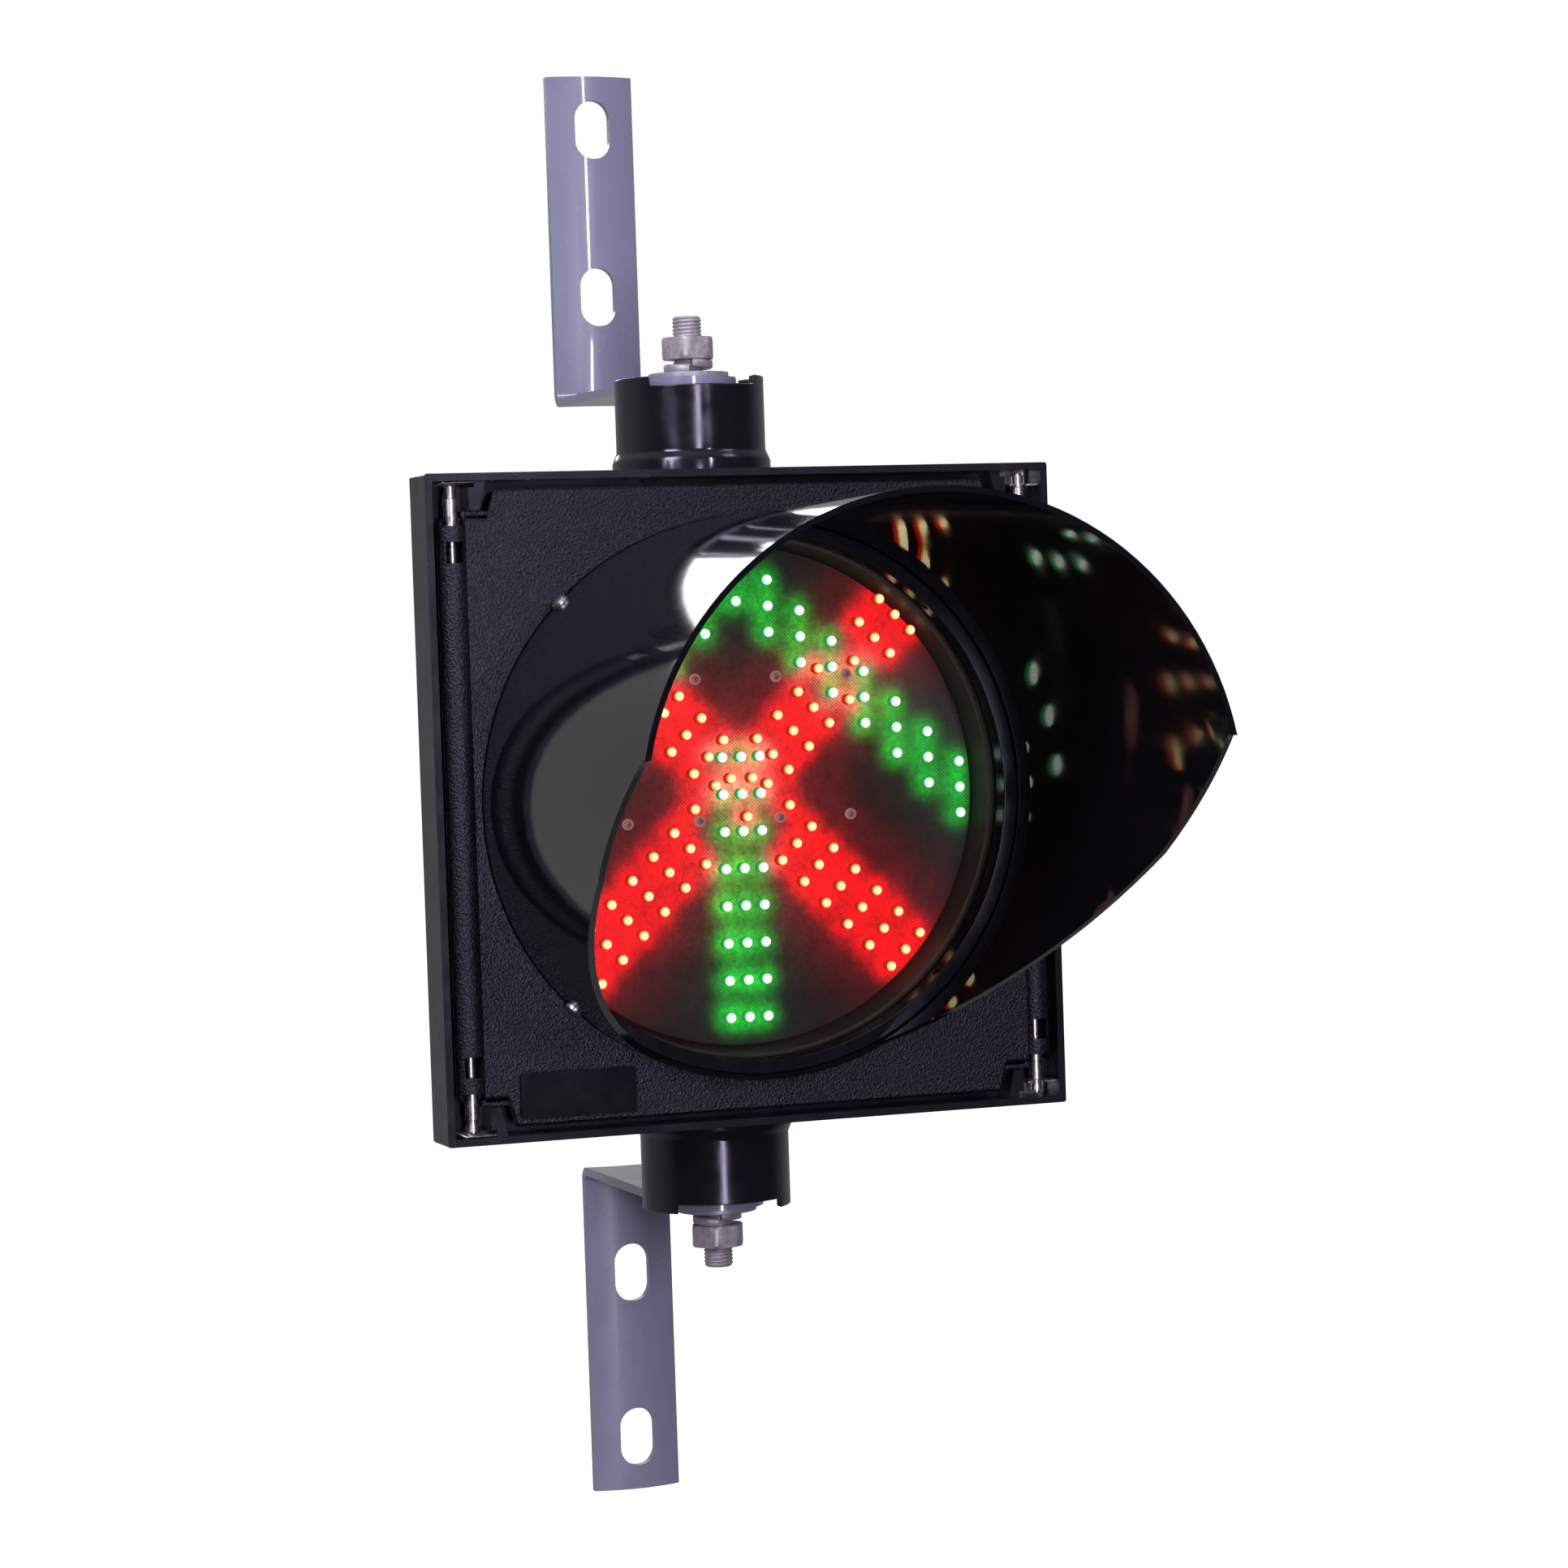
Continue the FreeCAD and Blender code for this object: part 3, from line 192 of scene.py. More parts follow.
class Paint:
    """A material under construction: a Principled shader and short ways to feed it."""

    def __init__(self, name, colour, roughness, metallic=0.0):
        self.material = bpy.data.materials.new(name)
        self.material.use_nodes = True
        self.tree = self.material.node_tree
        self.shader = self.tree.nodes["Principled BSDF"]
        self.shader.inputs["Base Color"].default_value = (*colour, 1)
        self.shader.inputs["Roughness"].default_value = roughness
        self.shader.inputs["Metallic"].default_value = metallic
        self.place = self.tree.nodes.new("ShaderNodeTexCoord").outputs["Object"]
        self.relief = None

    def node(self, kind, **inputs):
        """A new node; each keyword is one of its sockets, with _ for a space."""
        made = self.tree.nodes.new("ShaderNode" + kind)
        for key, value in inputs.items():
            made.inputs[key.replace("_", " ")].default_value = value
        return made

    def link(self, source, target):
        self.tree.links.new(source, target)

    def stretched(self, scale):
        """Object coordinates scaled unevenly, for drawn or brushed grain."""
        mapping = self.node("Mapping")
        mapping.inputs["Scale"].default_value = scale
        self.link(self.place, mapping.inputs["Vector"])
        return mapping.outputs[0]

    def noise(self, scale, detail=3.0, roughness=0.55, place=None):
        noise = self.node("TexNoise", Scale=scale, Detail=detail, Roughness=roughness)
        self.link(place or self.place, noise.inputs["Vector"])
        return noise.outputs["Fac"]

    def cells(self, scale, feature="F1"):
        cells = self.node("TexVoronoi", Scale=scale)
        cells.feature = feature
        self.link(self.place, cells.inputs["Vector"])
        return cells.outputs["Distance"]

    def fit(self, value, low, high, source=(0.0, 1.0)):
        """A value brought from one range to another."""
        ramp = self.node("MapRange", From_Min=source[0], From_Max=source[1],
                         To_Min=low, To_Max=high)
        self.link(value, ramp.inputs["Value"])
        return ramp.outputs["Result"]

    def product(self, first, second):
        """Two values multiplied; either may be a plain number."""
        made = self.tree.nodes.new("ShaderNodeMath")
        made.operation = "MULTIPLY"
        for index, value in enumerate((first, second)):
            if isinstance(value, float):
                made.inputs[index].default_value = value
            else:
                self.link(value, made.inputs[index])
        return made.outputs[0]

    def colour(self, value, first, second):
        """Base colour that goes from the first to the second as the value goes from 0 to 1."""
        mix = self.tree.nodes.new("ShaderNodeMix")
        mix.data_type = "RGBA"
        mix.inputs[MIX_FIRST].default_value = (*first, 1)
        mix.inputs[MIX_SECOND].default_value = (*second, 1)
        self.link(value, mix.inputs[MIX_FACTOR])
        self.link(mix.outputs[MIX_RESULT], self.shader.inputs["Base Color"])

    def roughness(self, value, low, high):
        self.link(self.fit(value, low, high, NOISE_SPAN), self.shader.inputs["Roughness"])

    def bump(self, value, height, strength):
        """Add relief of the given height."""
        bump = self.node("Bump", Strength=strength, Distance=height)
        self.link(value, bump.inputs["Height"])
        if self.relief:
            self.link(self.relief, bump.inputs["Normal"])
        self.relief = bump.outputs["Normal"]
        self.link(self.relief, self.shader.inputs["Normal"])


BLUISH = (0.80, 0.76, 1.0, 1.0)
PLAIN_GLOSS = 0.5


def shade(colour, factor, lift=0.0):
    return tuple(channel * factor + lift for channel in colour)


def black_shell(name, colour, roughness, gloss):
    """What every black moulding starts from."""
    paint = Paint(name, colour, roughness)
    paint.shader.inputs["Specular Tint"].default_value = BLUISH
    paint.shader.inputs["Specular IOR Level"].default_value = gloss
    paint.roughness(paint.noise(60, detail=3), roughness - 0.05, roughness + 0.07)
    return paint


def smooth_black(name, colour, roughness, gloss=PLAIN_GLOSS):
    """Smooth black polycarbonate, slightly uneven in colour, gloss and flatness."""
    paint = black_shell(name, colour, roughness, gloss)
    paint.colour(paint.noise(9, detail=4), colour, shade(colour, 1.5, 0.004))
    paint.bump(paint.noise(140, detail=2), 0.02 * MM, strength=0.25)
    return paint.material


GRAIN_SCALE = 900
GRAIN_HEIGHT = 0.5 * MM
SPECK_SPAN = (0.44, 0.68)


def grained_black(name, colour, roughness):
    """Black polycarbonate with a fine moulded grain and paler specks on it."""
    paint = black_shell(name, colour, roughness, PLAIN_GLOSS)
    specks = paint.fit(paint.noise(GRAIN_SCALE, detail=2, roughness=0.7), 0, 1, SPECK_SPAN)
    paint.colour(specks, colour, shade(colour, 7))
    paint.bump(paint.cells(GRAIN_SCALE, "SMOOTH_F1"), GRAIN_HEIGHT, strength=0.9)
    paint.bump(paint.noise(GRAIN_SCALE * 1.7, detail=4), GRAIN_HEIGHT * 0.5, strength=0.8)
    return paint.material


def visor_black(name, colour, outside, inside):
    """Black visor with its own roughness outside, and streaks along it inside."""
    paint = Paint(name, colour, outside)

    # seen along the visor's axis, normals point away from it outside and towards it inside
    flat = paint.node("VectorMath")
    flat.operation = "MULTIPLY"
    flat.inputs[1].default_value = (1, 0, 1)
    paint.link(paint.place, flat.inputs[0])
    facing = paint.node("VectorMath")
    facing.operation = "DOT_PRODUCT"
    paint.link(flat.outputs[0], facing.inputs[0])
    paint.link(paint.node("TexCoord").outputs["Normal"], facing.inputs[1])
    outer = paint.fit(facing.outputs["Value"], 0, 1, (-0.01, 0.01))

    streaks = paint.noise(55, detail=4, roughness=0.6, place=paint.stretched((1, 0.12, 1)))
    rubbed = paint.fit(streaks, inside - 0.02, inside + 0.04, NOISE_SPAN)
    mixed = paint.node("MapRange")
    paint.link(outer, mixed.inputs["Value"])
    paint.link(rubbed, mixed.inputs["To Min"])
    mixed.inputs["To Max"].default_value = outside
    paint.link(mixed.outputs["Result"], paint.shader.inputs["Roughness"])
    paint.colour(streaks, colour, shade(colour, 1.8))
    paint.bump(paint.noise(35, detail=2), 0.25 * MM, strength=0.12)
    return paint.material


def bracket_coat():
    """Thick glossy blue-grey coating with slight orange peel."""
    dark, pale = (0.265, 0.27, 0.395), (0.295, 0.30, 0.43)
    paint = Paint("bracket_coat", dark, 0.24)
    paint.shader.inputs["Coat Weight"].default_value = 1.0
    paint.shader.inputs["Coat Roughness"].default_value = 0.05
    paint.colour(paint.fit(paint.noise(7, detail=5), 0, 1, (0.2, 0.8)), dark, pale)
    paint.roughness(paint.noise(40, detail=3), 0.2, 0.34)
    paint.bump(paint.noise(330, detail=2), 0.06 * MM, strength=0.35)
    paint.bump(paint.noise(30, detail=2), 0.4 * MM, strength=0.12)
    return paint.material


def plated_steel(name, colour, roughness, stretch=(1, 1, 1), spangle=0, metal=1.0):
    """Steel with mottled colour and gloss, a fine drawn grain and, if it is zinc, spangle."""
    paint = Paint(name, colour, roughness, metal)
    drawn = paint.noise(700, detail=3, place=paint.stretched(stretch))
    mottled = paint.noise(320, detail=4, roughness=0.7)
    paint.colour(paint.fit(mottled, 0, 1, NOISE_SPAN), shade(colour, 0.66), colour)
    paint.roughness(mottled, roughness - 0.07, roughness + 0.14)
    paint.bump(drawn, 0.03 * MM, strength=0.5)
    if spangle:
        paint.bump(paint.cells(spangle), 0.05 * MM, strength=0.3)
    return paint.material


def rubber():
    """Matt black rubber, unevenly faded."""
    paint = Paint("seal_rubber", (0.016, 0.016, 0.016), 0.75)
    paint.colour(paint.noise(50, detail=4), (0.012, 0.012, 0.012), (0.03, 0.03, 0.03))
    paint.bump(paint.noise(900, detail=3), 0.05 * MM, strength=0.5)
    return paint.material


def board_coat(name, colour, track):
    """Solder mask over copper: the tracks show through as paler, raised lines."""
    paint = Paint(name, colour, 0.38)
    tracks = paint.node("TexBrick", Scale=60.0, Mortar_Size=0.03)
    paint.link(paint.stretched((1, 0.001, 1)), tracks.inputs["Vector"])
    paint.colour(tracks.outputs["Fac"], colour, track)
    paint.roughness(paint.noise(300, detail=3), 0.3, 0.48)
    paint.bump(tracks.outputs["Fac"], 0.03 * MM, strength=0.5)
    return paint.material


PRISM_WAVES = 230.0


def diamond_waves(paint):
    """Two crossed sets of fine ridges, as moulded into a signal lens."""
    waves = []
    for turn in (45, -45):
        mapping = paint.node("Mapping")
        mapping.inputs["Rotation"].default_value = (0, math.radians(turn), 0)
        paint.link(paint.place, mapping.inputs["Vector"])
        wave = paint.node("TexWave", Scale=PRISM_WAVES, Distortion=0.0)
        wave.bands_direction = "X"
        paint.link(mapping.outputs[0], wave.inputs["Vector"])
        waves.append(wave.outputs["Fac"])
    return paint.product(waves[0], waves[1])


def patterned_lens():
    """Clear front with a fine moulded diamond pattern, unevenly rubbed."""
    paint = Paint("lens_clear", (0.022, 0.019, 0.018), 0.10)
    paint.shader.inputs["Specular IOR Level"].default_value = 0.35
    diamonds = diamond_waves(paint)
    paint.bump(diamonds, 0.03 * MM, strength=0.3)
    paint.link(paint.fit(diamonds, 0.10, 0.36), paint.shader.inputs["Alpha"])
    paint.roughness(paint.noise(24, detail=5, roughness=0.7), 0.08, 0.22)
    return paint.material


BOARD_GLOW = 2.0


def lit_board():
    """Dark solder mask that catches the LEDs' own light, unevenly, around each one."""
    paint = Paint("led_board_lit", (0.030, 0.022, 0.020), 0.35)
    paint.bump(paint.noise(260, detail=3), 0.1 * MM, strength=0.4)
    paint.colour(paint.noise(30, detail=3), (0.026, 0.019, 0.018), (0.040, 0.030, 0.027))
    scatter = paint.node("Attribute")
    scatter.attribute_name = "scatter"
    broad = paint.fit(paint.noise(48, detail=4, roughness=0.6), 0.55, 1.45, NOISE_SPAN)
    fine = paint.fit(paint.noise(420, detail=3, roughness=0.6), 0.7, 1.3, NOISE_SPAN)
    scaled = paint.node("VectorMath")
    scaled.operation = "SCALE"
    paint.link(scatter.outputs["Color"], scaled.inputs[0])
    paint.link(paint.product(broad, fine), scaled.inputs["Scale"])
    paint.link(scaled.outputs[0], paint.shader.inputs["Emission Color"])
    paint.shader.inputs["Emission Strength"].default_value = BOARD_GLOW
    return paint.material


def forward_glow(name, bands, strength):
    """A glow that depends on how far the surface faces forwards, from 0 at right angles to 1.

    An LED's dome is bright on top and dim at its side, because its beam leaves forwards. Each
    band is such a share and the colour there.
    """
    paint = Paint(name, bands[0][1], 0.15)
    coordinates = paint.node("TexCoord")
    split = paint.node("SeparateXYZ")
    paint.link(coordinates.outputs["Normal"], split.inputs[0])
    forwards = paint.product(split.outputs["Y"], -1.0)
    ramp = paint.node("ValToRGB")
    stops = ramp.color_ramp.elements
    while len(stops) < len(bands):
        stops.new(0.5)
    for stop, (place, colour) in zip(stops, bands):
        stop.position = place
        stop.color = (*colour, 1)
    paint.link(forwards, ramp.inputs["Fac"])
    paint.link(ramp.outputs["Color"], paint.shader.inputs["Emission Color"])
    paint.shader.inputs["Emission Strength"].default_value = strength
    return paint.material


def dull_case(name, colour):
    """Dull moulded plastic, slightly uneven in colour and pitted."""
    paint = Paint(name, colour, 0.55)
    paint.colour(paint.noise(120, detail=3), colour, shade(colour, 1.6))
    paint.bump(paint.noise(500, detail=2), 0.04 * MM, strength=0.4)
    return paint.material


def sleeved_can():
    """The shrunk blue sleeve of a capacitor."""
    paint = Paint("sleeved_can", (0.02, 0.03, 0.08), 0.35)
    paint.colour(paint.noise(80, detail=3), (0.015, 0.025, 0.07), (0.03, 0.04, 0.1))
    paint.bump(paint.noise(400, detail=2), 0.03 * MM, strength=0.4)
    return paint.material


housing_black = smooth_black("housing_black", (0.010, 0.010, 0.013), 0.24)
hub_black = smooth_black("hub_black", (0.006, 0.006, 0.009), 0.14, gloss=0.9)
door_grain = grained_black("door_grain", (0.0025, 0.0024, 0.0034), 0.37)
visor_gloss = visor_black("visor_gloss", (0.004, 0.004, 0.006), 0.07, 0.045)
ring_black = smooth_black("ring_black", (0.005, 0.005, 0.007), 0.22, gloss=0.35)
bracket_paint = bracket_coat()
bright_zinc = plated_steel("bright_zinc", (0.60, 0.56, 0.62), 0.42, spangle=300, metal=0.55)
dull_zinc = plated_steel("dull_zinc", (0.46, 0.45, 0.55), 0.38, spangle=160, metal=0.3)
stainless = plated_steel("stainless", (0.72, 0.70, 0.68), 0.3, (1, 1, 5))
spring_wire = plated_steel("spring_wire", (0.55, 0.55, 0.56), 0.3)
seal = rubber()
led_mask = lit_board()
driver_mask = board_coat("driver_board_mask", (0.012, 0.07, 0.03), (0.03, 0.14, 0.07))
case_black = dull_case("case_black", (0.02, 0.02, 0.022))
cup_grey = dull_case("cup_grey", (0.085, 0.080, 0.078))
can_blue = sleeved_can()
lens_material = patterned_lens()
label_film = smooth_black("label_film", (0.005, 0.005, 0.007), 0.22, gloss=0.35)

GREEN_BANDS = ((0.0, (0.01, 0.20, 0.04)), (0.28, (0.06, 0.55, 0.16)),
               (0.50, (0.75, 1.0, 0.80)), (0.70, (1.0, 1.0, 1.0)))
RED_BANDS = ((0.0, (0.30, 0.010, 0.003)), (0.30, (0.65, 0.04, 0.01)),
             (0.55, (1.0, 0.45, 0.07)), (0.80, (1.0, 0.95, 0.50)))
# the board screws are no lamps: the glow on their heads is a painted glint of the LEDs' light,
# brightest where the head faces sideways and dark on its flat top
SCREW_BANDS = ((0.0, (0.60, 0.30, 0.28)), (0.70, (0.45, 0.20, 0.18)),
               (0.90, (0.34, 0.13, 0.12)), (1.0, (0.02, 0.006, 0.006)))
green_light = forward_glow("green_light", GREEN_BANDS, 1.7)
screw_glint = forward_glow("screw_glint", SCREW_BANDS, 0.8)
red_light = forward_glow("red_light", RED_BANDS, 1.7)

NODE_LOOKS = {
    "housing_frame": housing_black, "housing_shell": housing_black,
    "housing_back": housing_black, "cable_grommet": seal, "terminal_block": case_black,
    "corner_plates_hinge": stainless, "corner_plates_latch": stainless,
    "door_panel": door_grain, "door_gasket": seal, "pin_bushes": stainless,
    "visor": visor_gloss, "visor_screws": stainless, "lens_ring": ring_black,
    "lens": lens_material, "lens_gasket": seal, "module_cup": cup_grey,
    "led_board": led_mask, "driver_board": driver_mask, "transformer": case_black,
    "module_connector": case_black, "board_screws": screw_glint,
    "board_spacers": bright_zinc, "capacitors": can_blue, "module_screws": stainless,
    "module_clips": stainless, "green_leds": green_light, "red_leds": red_light,
}
for level in ("upper", "lower"):
    NODE_LOOKS[level + "_bracket"] = bracket_paint
    NODE_LOOKS[level + "_hub"] = hub_black
    for fastener in ("stud", "nut", "spring_washer", "inner_nut"):
        NODE_LOOKS["%s_%s" % (level, fastener)] = bright_zinc
    for washer in ("plate_washer", "inner_washer"):
        NODE_LOOKS["%s_%s" % (level, washer)] = dull_zinc
    for side in ("left", "right"):
        NODE_LOOKS["pin_%s_%s" % (level, side)] = stainless
        NODE_LOOKS["pin_spring_%s_%s" % (level, side)] = spring_wire


# ------------------------------------------------------------------ built pieces

def grid_mesh(name, rows):
    """A mesh from rows of equally many points, joined row to row and round each row."""
    count = len(rows[0])
    points = [point for row in rows for point in row]
    faces = []
    for r in range(len(rows) - 1):
        for c in range(count):
            follower = (c + 1) % count
            faces.append((r * count + c, r * count + follower,
                          (r + 1) * count + follower, (r + 1) * count + c))
    mesh = bpy.data.meshes.new(name)
    mesh.from_pydata(points, [], faces)
    return mesh


MERGE_DISTANCE = 0.001 * MM


def close_up(mesh):
    """Merge doubled points, close flat ends, turn every face outwards and shade it smooth."""
    work = bmesh.new()
    work.from_mesh(mesh)
    bmesh.ops.remove_doubles(work, verts=work.verts, dist=MERGE_DISTANCE)
    edges = [edge for edge in work.edges if edge.is_boundary]
    if edges:
        bmesh.ops.holes_fill(work, edges=edges, sides=0)
    bmesh.ops.recalc_face_normals(work, faces=work.faces)
    work.to_mesh(mesh)
    work.free()
    for face in mesh.polygons:
        face.use_smooth = True


def add_piece(mesh, paint, body, slot, *replaced):
    """Put a mesh in the scene on its body, in place of the CAD nodes named last."""
    made = bpy.data.objects.new(mesh.name, mesh)
    bpy.context.scene.collection.objects.link(made)
    mesh.materials.append(paint)
    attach(made, body)
    if replaced:
        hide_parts(*replaced)
    return made


ROUND_CREASE = 50


def crease(piece, degrees=ROUND_CREASE):
    """Keep edges sharper than this angle sharp."""
    split = piece.modifiers.new("creases", "EDGE_SPLIT")
    split.split_angle = math.radians(degrees)


def stand(node):
    """The middle of an upright round node in X and Y, and its radius."""
    low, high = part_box(node)
    return (low.x + high.x) / 2, (low.y + high.y) / 2, (high.x - low.x) / 2


THREAD_PITCH = 2.0 * MM
THREAD_DEPTH = 0.8 * MM
THREAD_STEEPNESS = 1.25
THREAD_COLUMNS = 36
ROWS_PER_TURN = 6
STUD_CHAMFER = 1.3 * MM


def build_stud(node):
    """A stud with a real helical thread and chamfered ends."""
    low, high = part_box(node)
    centre_x, centre_y, radius = stand(node)
    count = round((high.z - low.z) / THREAD_PITCH * ROWS_PER_TURN)
    rows = []
    for r in range(count + 1):
        z = low.z + (high.z - low.z) * r / count
        to_end = min(z - low.z, high.z - z)
        chamfer = max(0.0, STUD_CHAMFER - to_end)
        row = []
        for c in range(THREAD_COLUMNS):
            angle = 2 * math.pi * c / THREAD_COLUMNS
            phase = ((z - low.z) / THREAD_PITCH - c / THREAD_COLUMNS) % 1.0
            groove = THREAD_DEPTH * max(0.0, 1.0 - abs(2 * phase - 1.0) * THREAD_STEEPNESS)
            reach = min(radius - groove, radius - chamfer)
            row.append((centre_x + reach * math.cos(angle),
                        centre_y + reach * math.sin(angle), z))
        rows.append(row)
    mesh = grid_mesh(node + "_threaded", rows)
    close_up(mesh)
    crease(add_piece(mesh, bright_zinc, "head", "zinc_steel", node))


SPRING_STEPS = 72
SPRING_RISE = 3.2 * MM
SPRING_PLAY = 0.2 * MM
SPRING_SOFT = 0.6 * MM
SPLIT_DEGREES = 9
SPLIT_AT = -102
SPRING_CREASE = 60


def build_spring_washer(node, stud):
    """A split washer, one turn of a helix with a squared section, split at the front."""
    low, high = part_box(node)
    centre_x, centre_y, outer = stand(node)
    inner = stand(stud)[2] + SPRING_PLAY
    thick = high.z - low.z - SPRING_RISE
    soft = SPRING_SOFT
    section = [(inner + soft, 0), (outer - soft, 0), (outer, soft), (outer, thick - soft),
               (outer - soft, thick), (inner + soft, thick), (inner, thick - soft),
               (inner, soft)]
    rows = []
    for step in range(SPRING_STEPS + 1):
        share = step / SPRING_STEPS
        angle = math.radians(SPLIT_AT - SPLIT_DEGREES / 2 - (360 - SPLIT_DEGREES) * share)
        lift = low.z + SPRING_RISE * share
        rows.append([(centre_x + reach * math.cos(angle), centre_y + reach * math.sin(angle),
                      lift + rise) for reach, rise in section])
    mesh = grid_mesh(node + "_helical", rows)
    close_up(mesh)
    crease(add_piece(mesh, bright_zinc, "head", "zinc_steel", node), SPRING_CREASE)


NUT_TURN = -114
NUT_CHAMFER = 1.3 * MM
NUT_STEP = 3
NUT_CREASE = 30

# how far the worn corners and the end faces reach, as shares of a sharp corner's reach
NUT_CORNER = 0.965
NUT_FACE = 0.90


def build_nut(node, stud):
    """A galvanized nut with soft corners, turned as it was last tightened."""
    low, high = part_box(node)
    centre_x, centre_y, flat = stand(node)
    corner = flat / math.cos(math.radians(30))
    bore = stand(stud)[2]

    def ring(z, limit):
        points = []
        for degrees in range(0, 360, NUT_STEP):
            from_flat = (degrees - NUT_TURN) % 60 - 30
            reach = min(flat / math.cos(math.radians(from_flat)), corner * limit)
            angle = math.radians(degrees)
            points.append((centre_x + reach * math.cos(angle),
                           centre_y + reach * math.sin(angle), z))
        return points

    rows = [ring(low.z, bore / corner), ring(low.z, NUT_FACE),
            ring(low.z + NUT_CHAMFER, NUT_CORNER), ring(high.z - NUT_CHAMFER, NUT_CORNER),
            ring(high.z, NUT_FACE), ring(high.z, bore / corner), ring(low.z, bore / corner)]
    mesh = grid_mesh(node + "_hex", rows)
    close_up(mesh)
    crease(add_piece(mesh, bright_zinc, "head", "zinc_steel", node), NUT_CREASE)


LED_RADIUS = 2.9 * MM
LED_SIDES = 20
DOME_STEPS = 6
TIP_TOLERANCE = 0.01 * MM


def led_centres(node):
    """Where the LEDs stand: the foremost point of each dome."""
    points = nodes[node].data.vertices
    front = min(point.co.y for point in points)
    return np.array(sorted({(round(point.co.x, 5), round(point.co.z, 5))
                            for point in points if point.co.y < front + TIP_TOLERANCE}))


def build_leds(node, paint, slot):
    """Round-topped LEDs, a barrel and a dome at each place of the node's LEDs."""
    low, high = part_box(node)
    tip, foot = low.y, high.y
    profile = [(0.0, foot), (LED_RADIUS, foot)]
    for step in range(DOME_STEPS + 1):
        angle = math.pi / 2 * step / DOME_STEPS
        profile.append((LED_RADIUS * math.cos(angle), tip + LED_RADIUS * (1 - math.sin(angle))))
    points, faces = [], []
    for centre_x, centre_z in led_centres(node):
        for r, (reach, y) in enumerate(profile):
            row = len(points)
            for side in range(LED_SIDES):
                angle = 2 * math.pi * side / LED_SIDES
                points.append((centre_x + reach * math.cos(angle), y,
                               centre_z + reach * math.sin(angle)))
            for side in range(LED_SIDES):
                follower = (side + 1) % LED_SIDES
                if r:
                    faces.append((row - LED_SIDES + side, row - LED_SIDES + follower,
                                  row + follower, row + side))
    mesh = bpy.data.meshes.new(node + "_domed")
    mesh.from_pydata(points, [], faces)
    close_up(mesh)
    crease(add_piece(mesh, paint, "door", slot, node))


DISC_RINGS = 110
DISC_SPOKES = 360
LENS_DOME = 2.2 * MM

# how far the LEDs' light spreads on the board, and how soon each colour's is full
NEAR_REACH = 6.0 * MM
FAR_REACH = 19 * MM
NEAR_RED, NEAR_GREEN = 1.6, 1.0
FAR_RED, FAR_GREEN = 0.12, 0.08

# for red, green and blue: near red, near green, where both meet, far red, far green
SCATTER_COLOURS = ((0.98, 0.002, 0.10, 0.200, 0.016), (0.001, 0.66, 0.10, 0.001, 0.030),
                   (0.002, 0.030, 0.17, 0.004, 0.018))


def scattered(points, centres, reach, gain):
    """The light, from 0 to 1, that reaches each point from all LEDs of one colour."""
    total = np.zeros(len(points))
    for centre in centres:
        gap = ((points - centre) ** 2).sum(axis=1)
        total += np.exp(-gap / (2 * reach * reach))
    return 1 - np.exp(-gain * total)


def disc_mesh(name, node, crown):
    """A node's round plate as a fine polar grid, its front crowned by the given height."""
    low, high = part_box(node)
    rows = []
    for ring in range(DISC_RINGS + 1):
        share = ring / DISC_RINGS
        rise = crown * (1 - share * share)
        rows.append([(high.x * share * math.cos(2 * math.pi * spoke / DISC_SPOKES),
                      low.y - rise,
                      high.x * share * math.sin(2 * math.pi * spoke / DISC_SPOKES))
                     for spoke in range(DISC_SPOKES)])
    rows.append([(x, high.y, z) for x, y, z in rows[-1]])
    mesh = grid_mesh(name, rows)
    close_up(mesh)
    return mesh


def build_lens():
    """The lens, its front slightly domed."""
    crease(add_piece(disc_mesh("lens_front", "lens", LENS_DOME), lens_material,
                     "door", "lens_clear", "lens"))


def build_board():
    """The LED board, with the light that the LEDs throw on it stored at its points."""
    mesh = disc_mesh("led_board_lit", "led_board", 0)
    places = np.array([(point.co.x, point.co.z) for point in mesh.vertices])
    red, green = led_centres("red_leds"), led_centres("green_leds")
    near_red = scattered(places, red, NEAR_REACH, NEAR_RED)
    near_green = scattered(places, green, NEAR_REACH, NEAR_GREEN)
    far_red = scattered(places, red, FAR_REACH, FAR_RED)
    far_green = scattered(places, green, FAR_REACH, FAR_GREEN)
    both = near_red * near_green
    colours = np.ones((len(places), 4))
    for channel, (r, g, haze, far_r, far_g) in enumerate(SCATTER_COLOURS):
        colours[:, channel] = (near_red ** 2 * r + (1 - both) * near_green ** 2 * g + both * haze
                               + far_red * far_r + far_green * far_g)
    scatter = mesh.color_attributes.new("scatter", "FLOAT_COLOR", "POINT")
    scatter.data.foreach_set("color", colours.ravel())
    board = add_piece(mesh, led_mask, "door", "board_dark", "led_board")
    board.visible_glossy = False
    crease(board)


LABEL_LEFT, LABEL_RIGHT = -135.1 * MM, -71.9 * MM
LABEL_LOW, LABEL_HIGH = -162.6 * MM, -138.8 * MM
LABEL_SINK = 0.6 * MM
LABEL_THICK = 0.25 * MM
LABEL_CORNER = 1.5 * MM
LABEL_STEPS = 6
LABEL_CREASE = 35


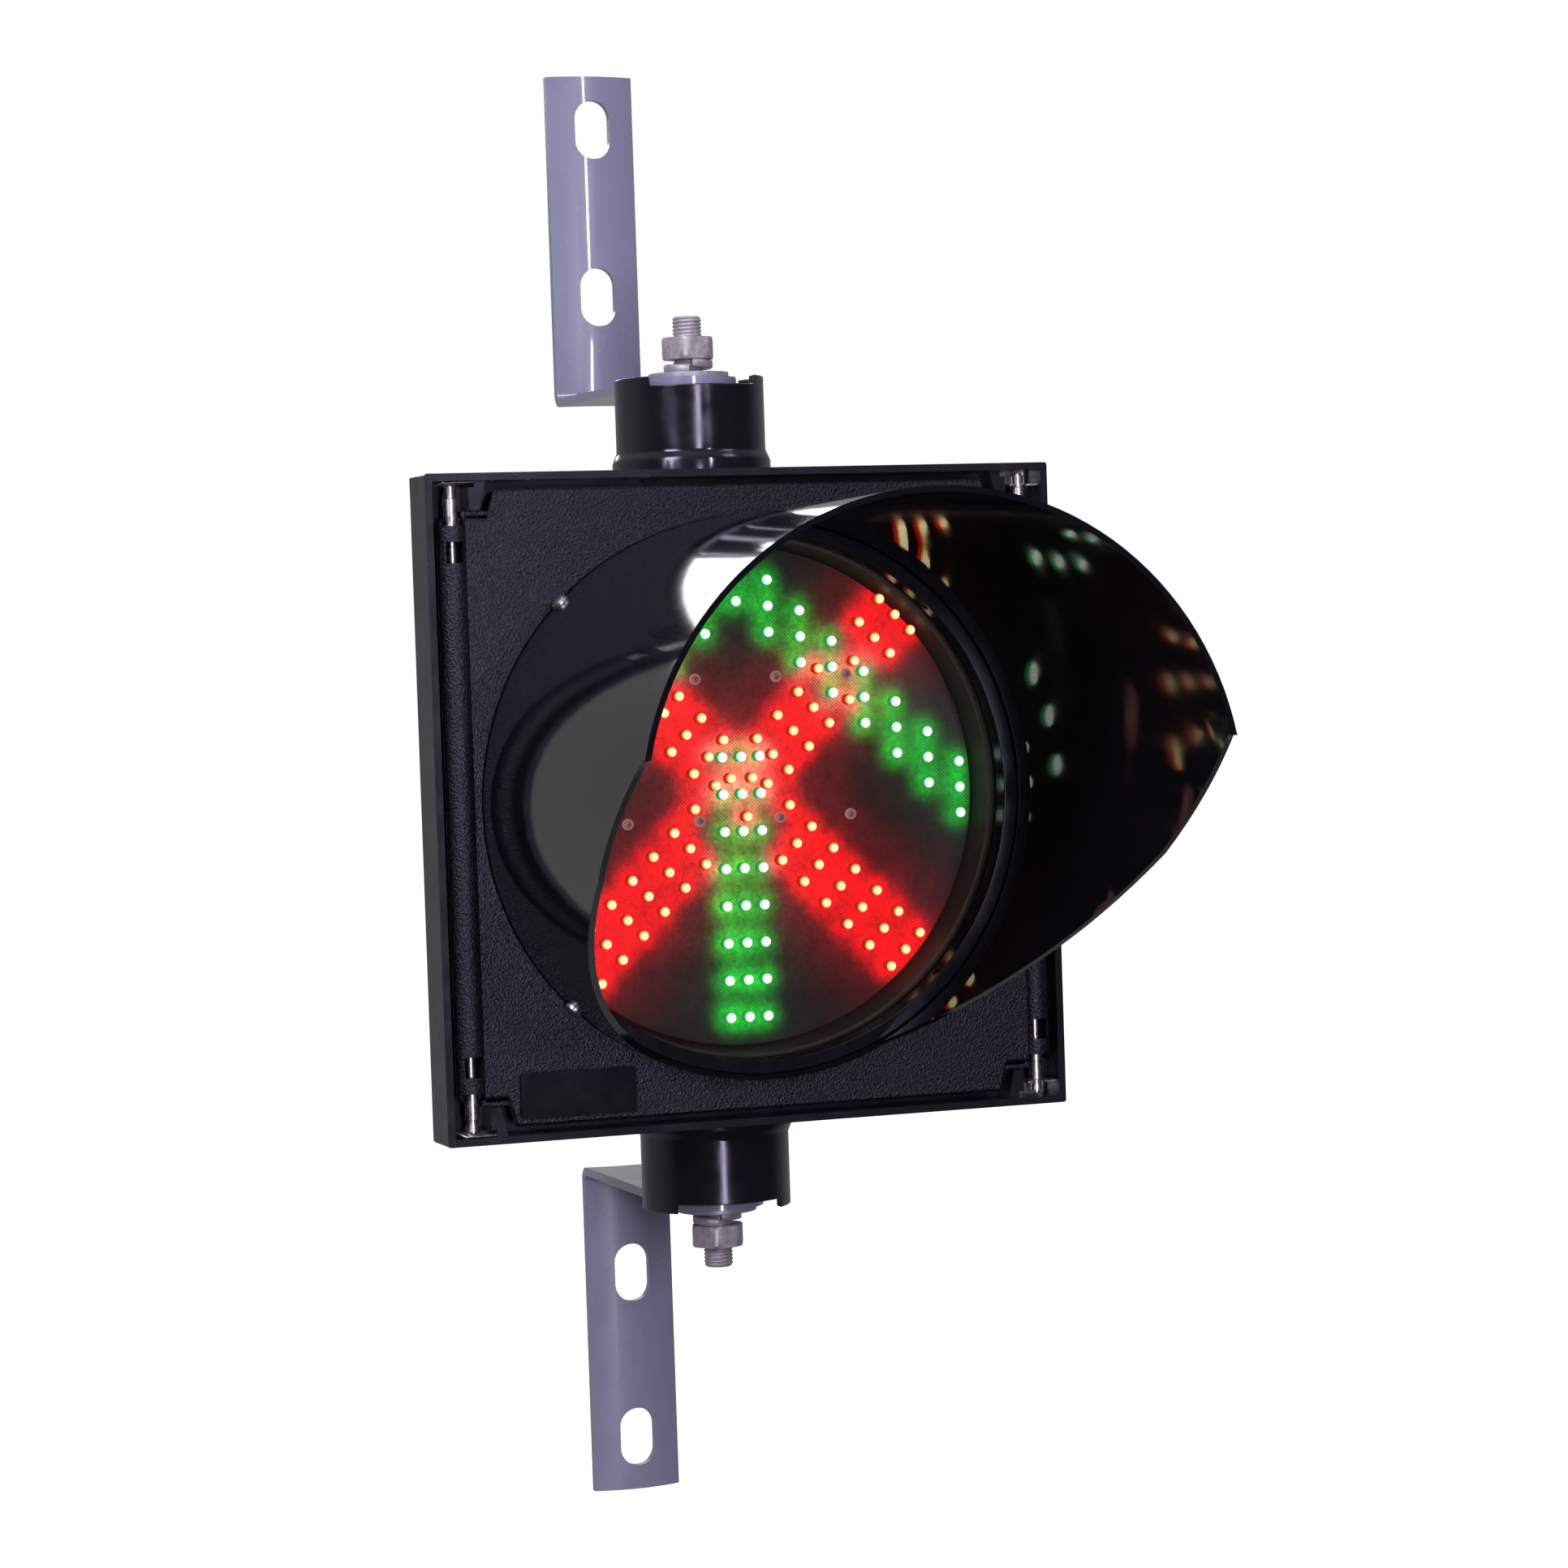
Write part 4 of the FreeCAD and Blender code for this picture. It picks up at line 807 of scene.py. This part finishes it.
def build_label():
    """The blank, smooth label that fills the door's recess."""
    corners = ((LABEL_RIGHT - LABEL_CORNER, LABEL_HIGH - LABEL_CORNER),
               (LABEL_LEFT + LABEL_CORNER, LABEL_HIGH - LABEL_CORNER),
               (LABEL_LEFT + LABEL_CORNER, LABEL_LOW + LABEL_CORNER),
               (LABEL_RIGHT - LABEL_CORNER, LABEL_LOW + LABEL_CORNER))
    ring = []
    for turn, (x, z) in enumerate(corners):
        for step in range(LABEL_STEPS + 1):
            angle = math.radians(90 * (turn + step / LABEL_STEPS))
            ring.append((x + LABEL_CORNER * math.cos(angle), z + LABEL_CORNER * math.sin(angle)))
    floor_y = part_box("door_panel")[0].y + LABEL_SINK
    rows = [[(x, depth, z) for x, z in ring] for depth in (floor_y, floor_y - LABEL_THICK)]
    mesh = grid_mesh("door_label_blank", rows)
    close_up(mesh)
    crease(add_piece(mesh, label_film, "door", "housing_black"), LABEL_CREASE)


for level in ("upper", "lower"):
    build_stud(level + "_stud")
    build_spring_washer(level + "_spring_washer", level + "_stud")
    build_nut(level + "_nut", level + "_stud")
build_leds("green_leds", green_light, "led_green")
build_leds("red_leds", red_light, "led_red")
build_lens()
build_board()
build_label()


# ------------------------------------------------------------------ carried-over CAD nodes

# the radius of the rounded edges, in millimetres
EDGE_ROUNDING = {
    "housing_frame": 0.7, "housing_shell": 1.2, "housing_back": 1.2, "door_panel": 0.4,
    "upper_hub": 0.7, "lower_hub": 0.7, "upper_plate_washer": 0.4, "lower_plate_washer": 0.4,
    "corner_plates_hinge": 0.25, "corner_plates_latch": 0.25, "lens_ring": 0.6,
    "visor_screws": 0.2,
}
ROUNDING_SEGMENTS = 2
SHARP_DEGREES = 38
WELD_DISTANCE = 0.002 * MM


def finish_node(name, node):
    """Give a CAD node its material, smooth shading and, if it is listed, rounded edges."""
    node.data.materials.clear()
    node.data.materials.append(NODE_LOOKS[name])
    weld = node.modifiers.new("weld", "WELD")
    weld.merge_threshold = WELD_DISTANCE
    for face in node.data.polygons:
        face.use_smooth = True
    if name in EDGE_ROUNDING:
        bevel = node.modifiers.new("edges", "BEVEL")
        bevel.width = EDGE_ROUNDING[name] * MM
        bevel.segments = ROUNDING_SEGMENTS
        bevel.limit_method = "ANGLE"
        bevel.angle_limit = math.radians(SHARP_DEGREES)
        smooth = node.modifiers.new("normals", "WEIGHTED_NORMAL")
        smooth.keep_sharp = True
    else:
        crease(node, SHARP_DEGREES)


for node_name, node in nodes.items():
    finish_node(node_name, node)


# ------------------------------------------------------------------ pin springs


def follow_pin(level, side):
    """Give a pin's spring a mesh of its own."""
    spring = "pin_spring_%s_%s" % (level, side)
    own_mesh(nodes[spring])


for level, sign in (("upper", 1), ("lower", -1)):
    for side in ("left", "right"):
        follow_pin(level, side)
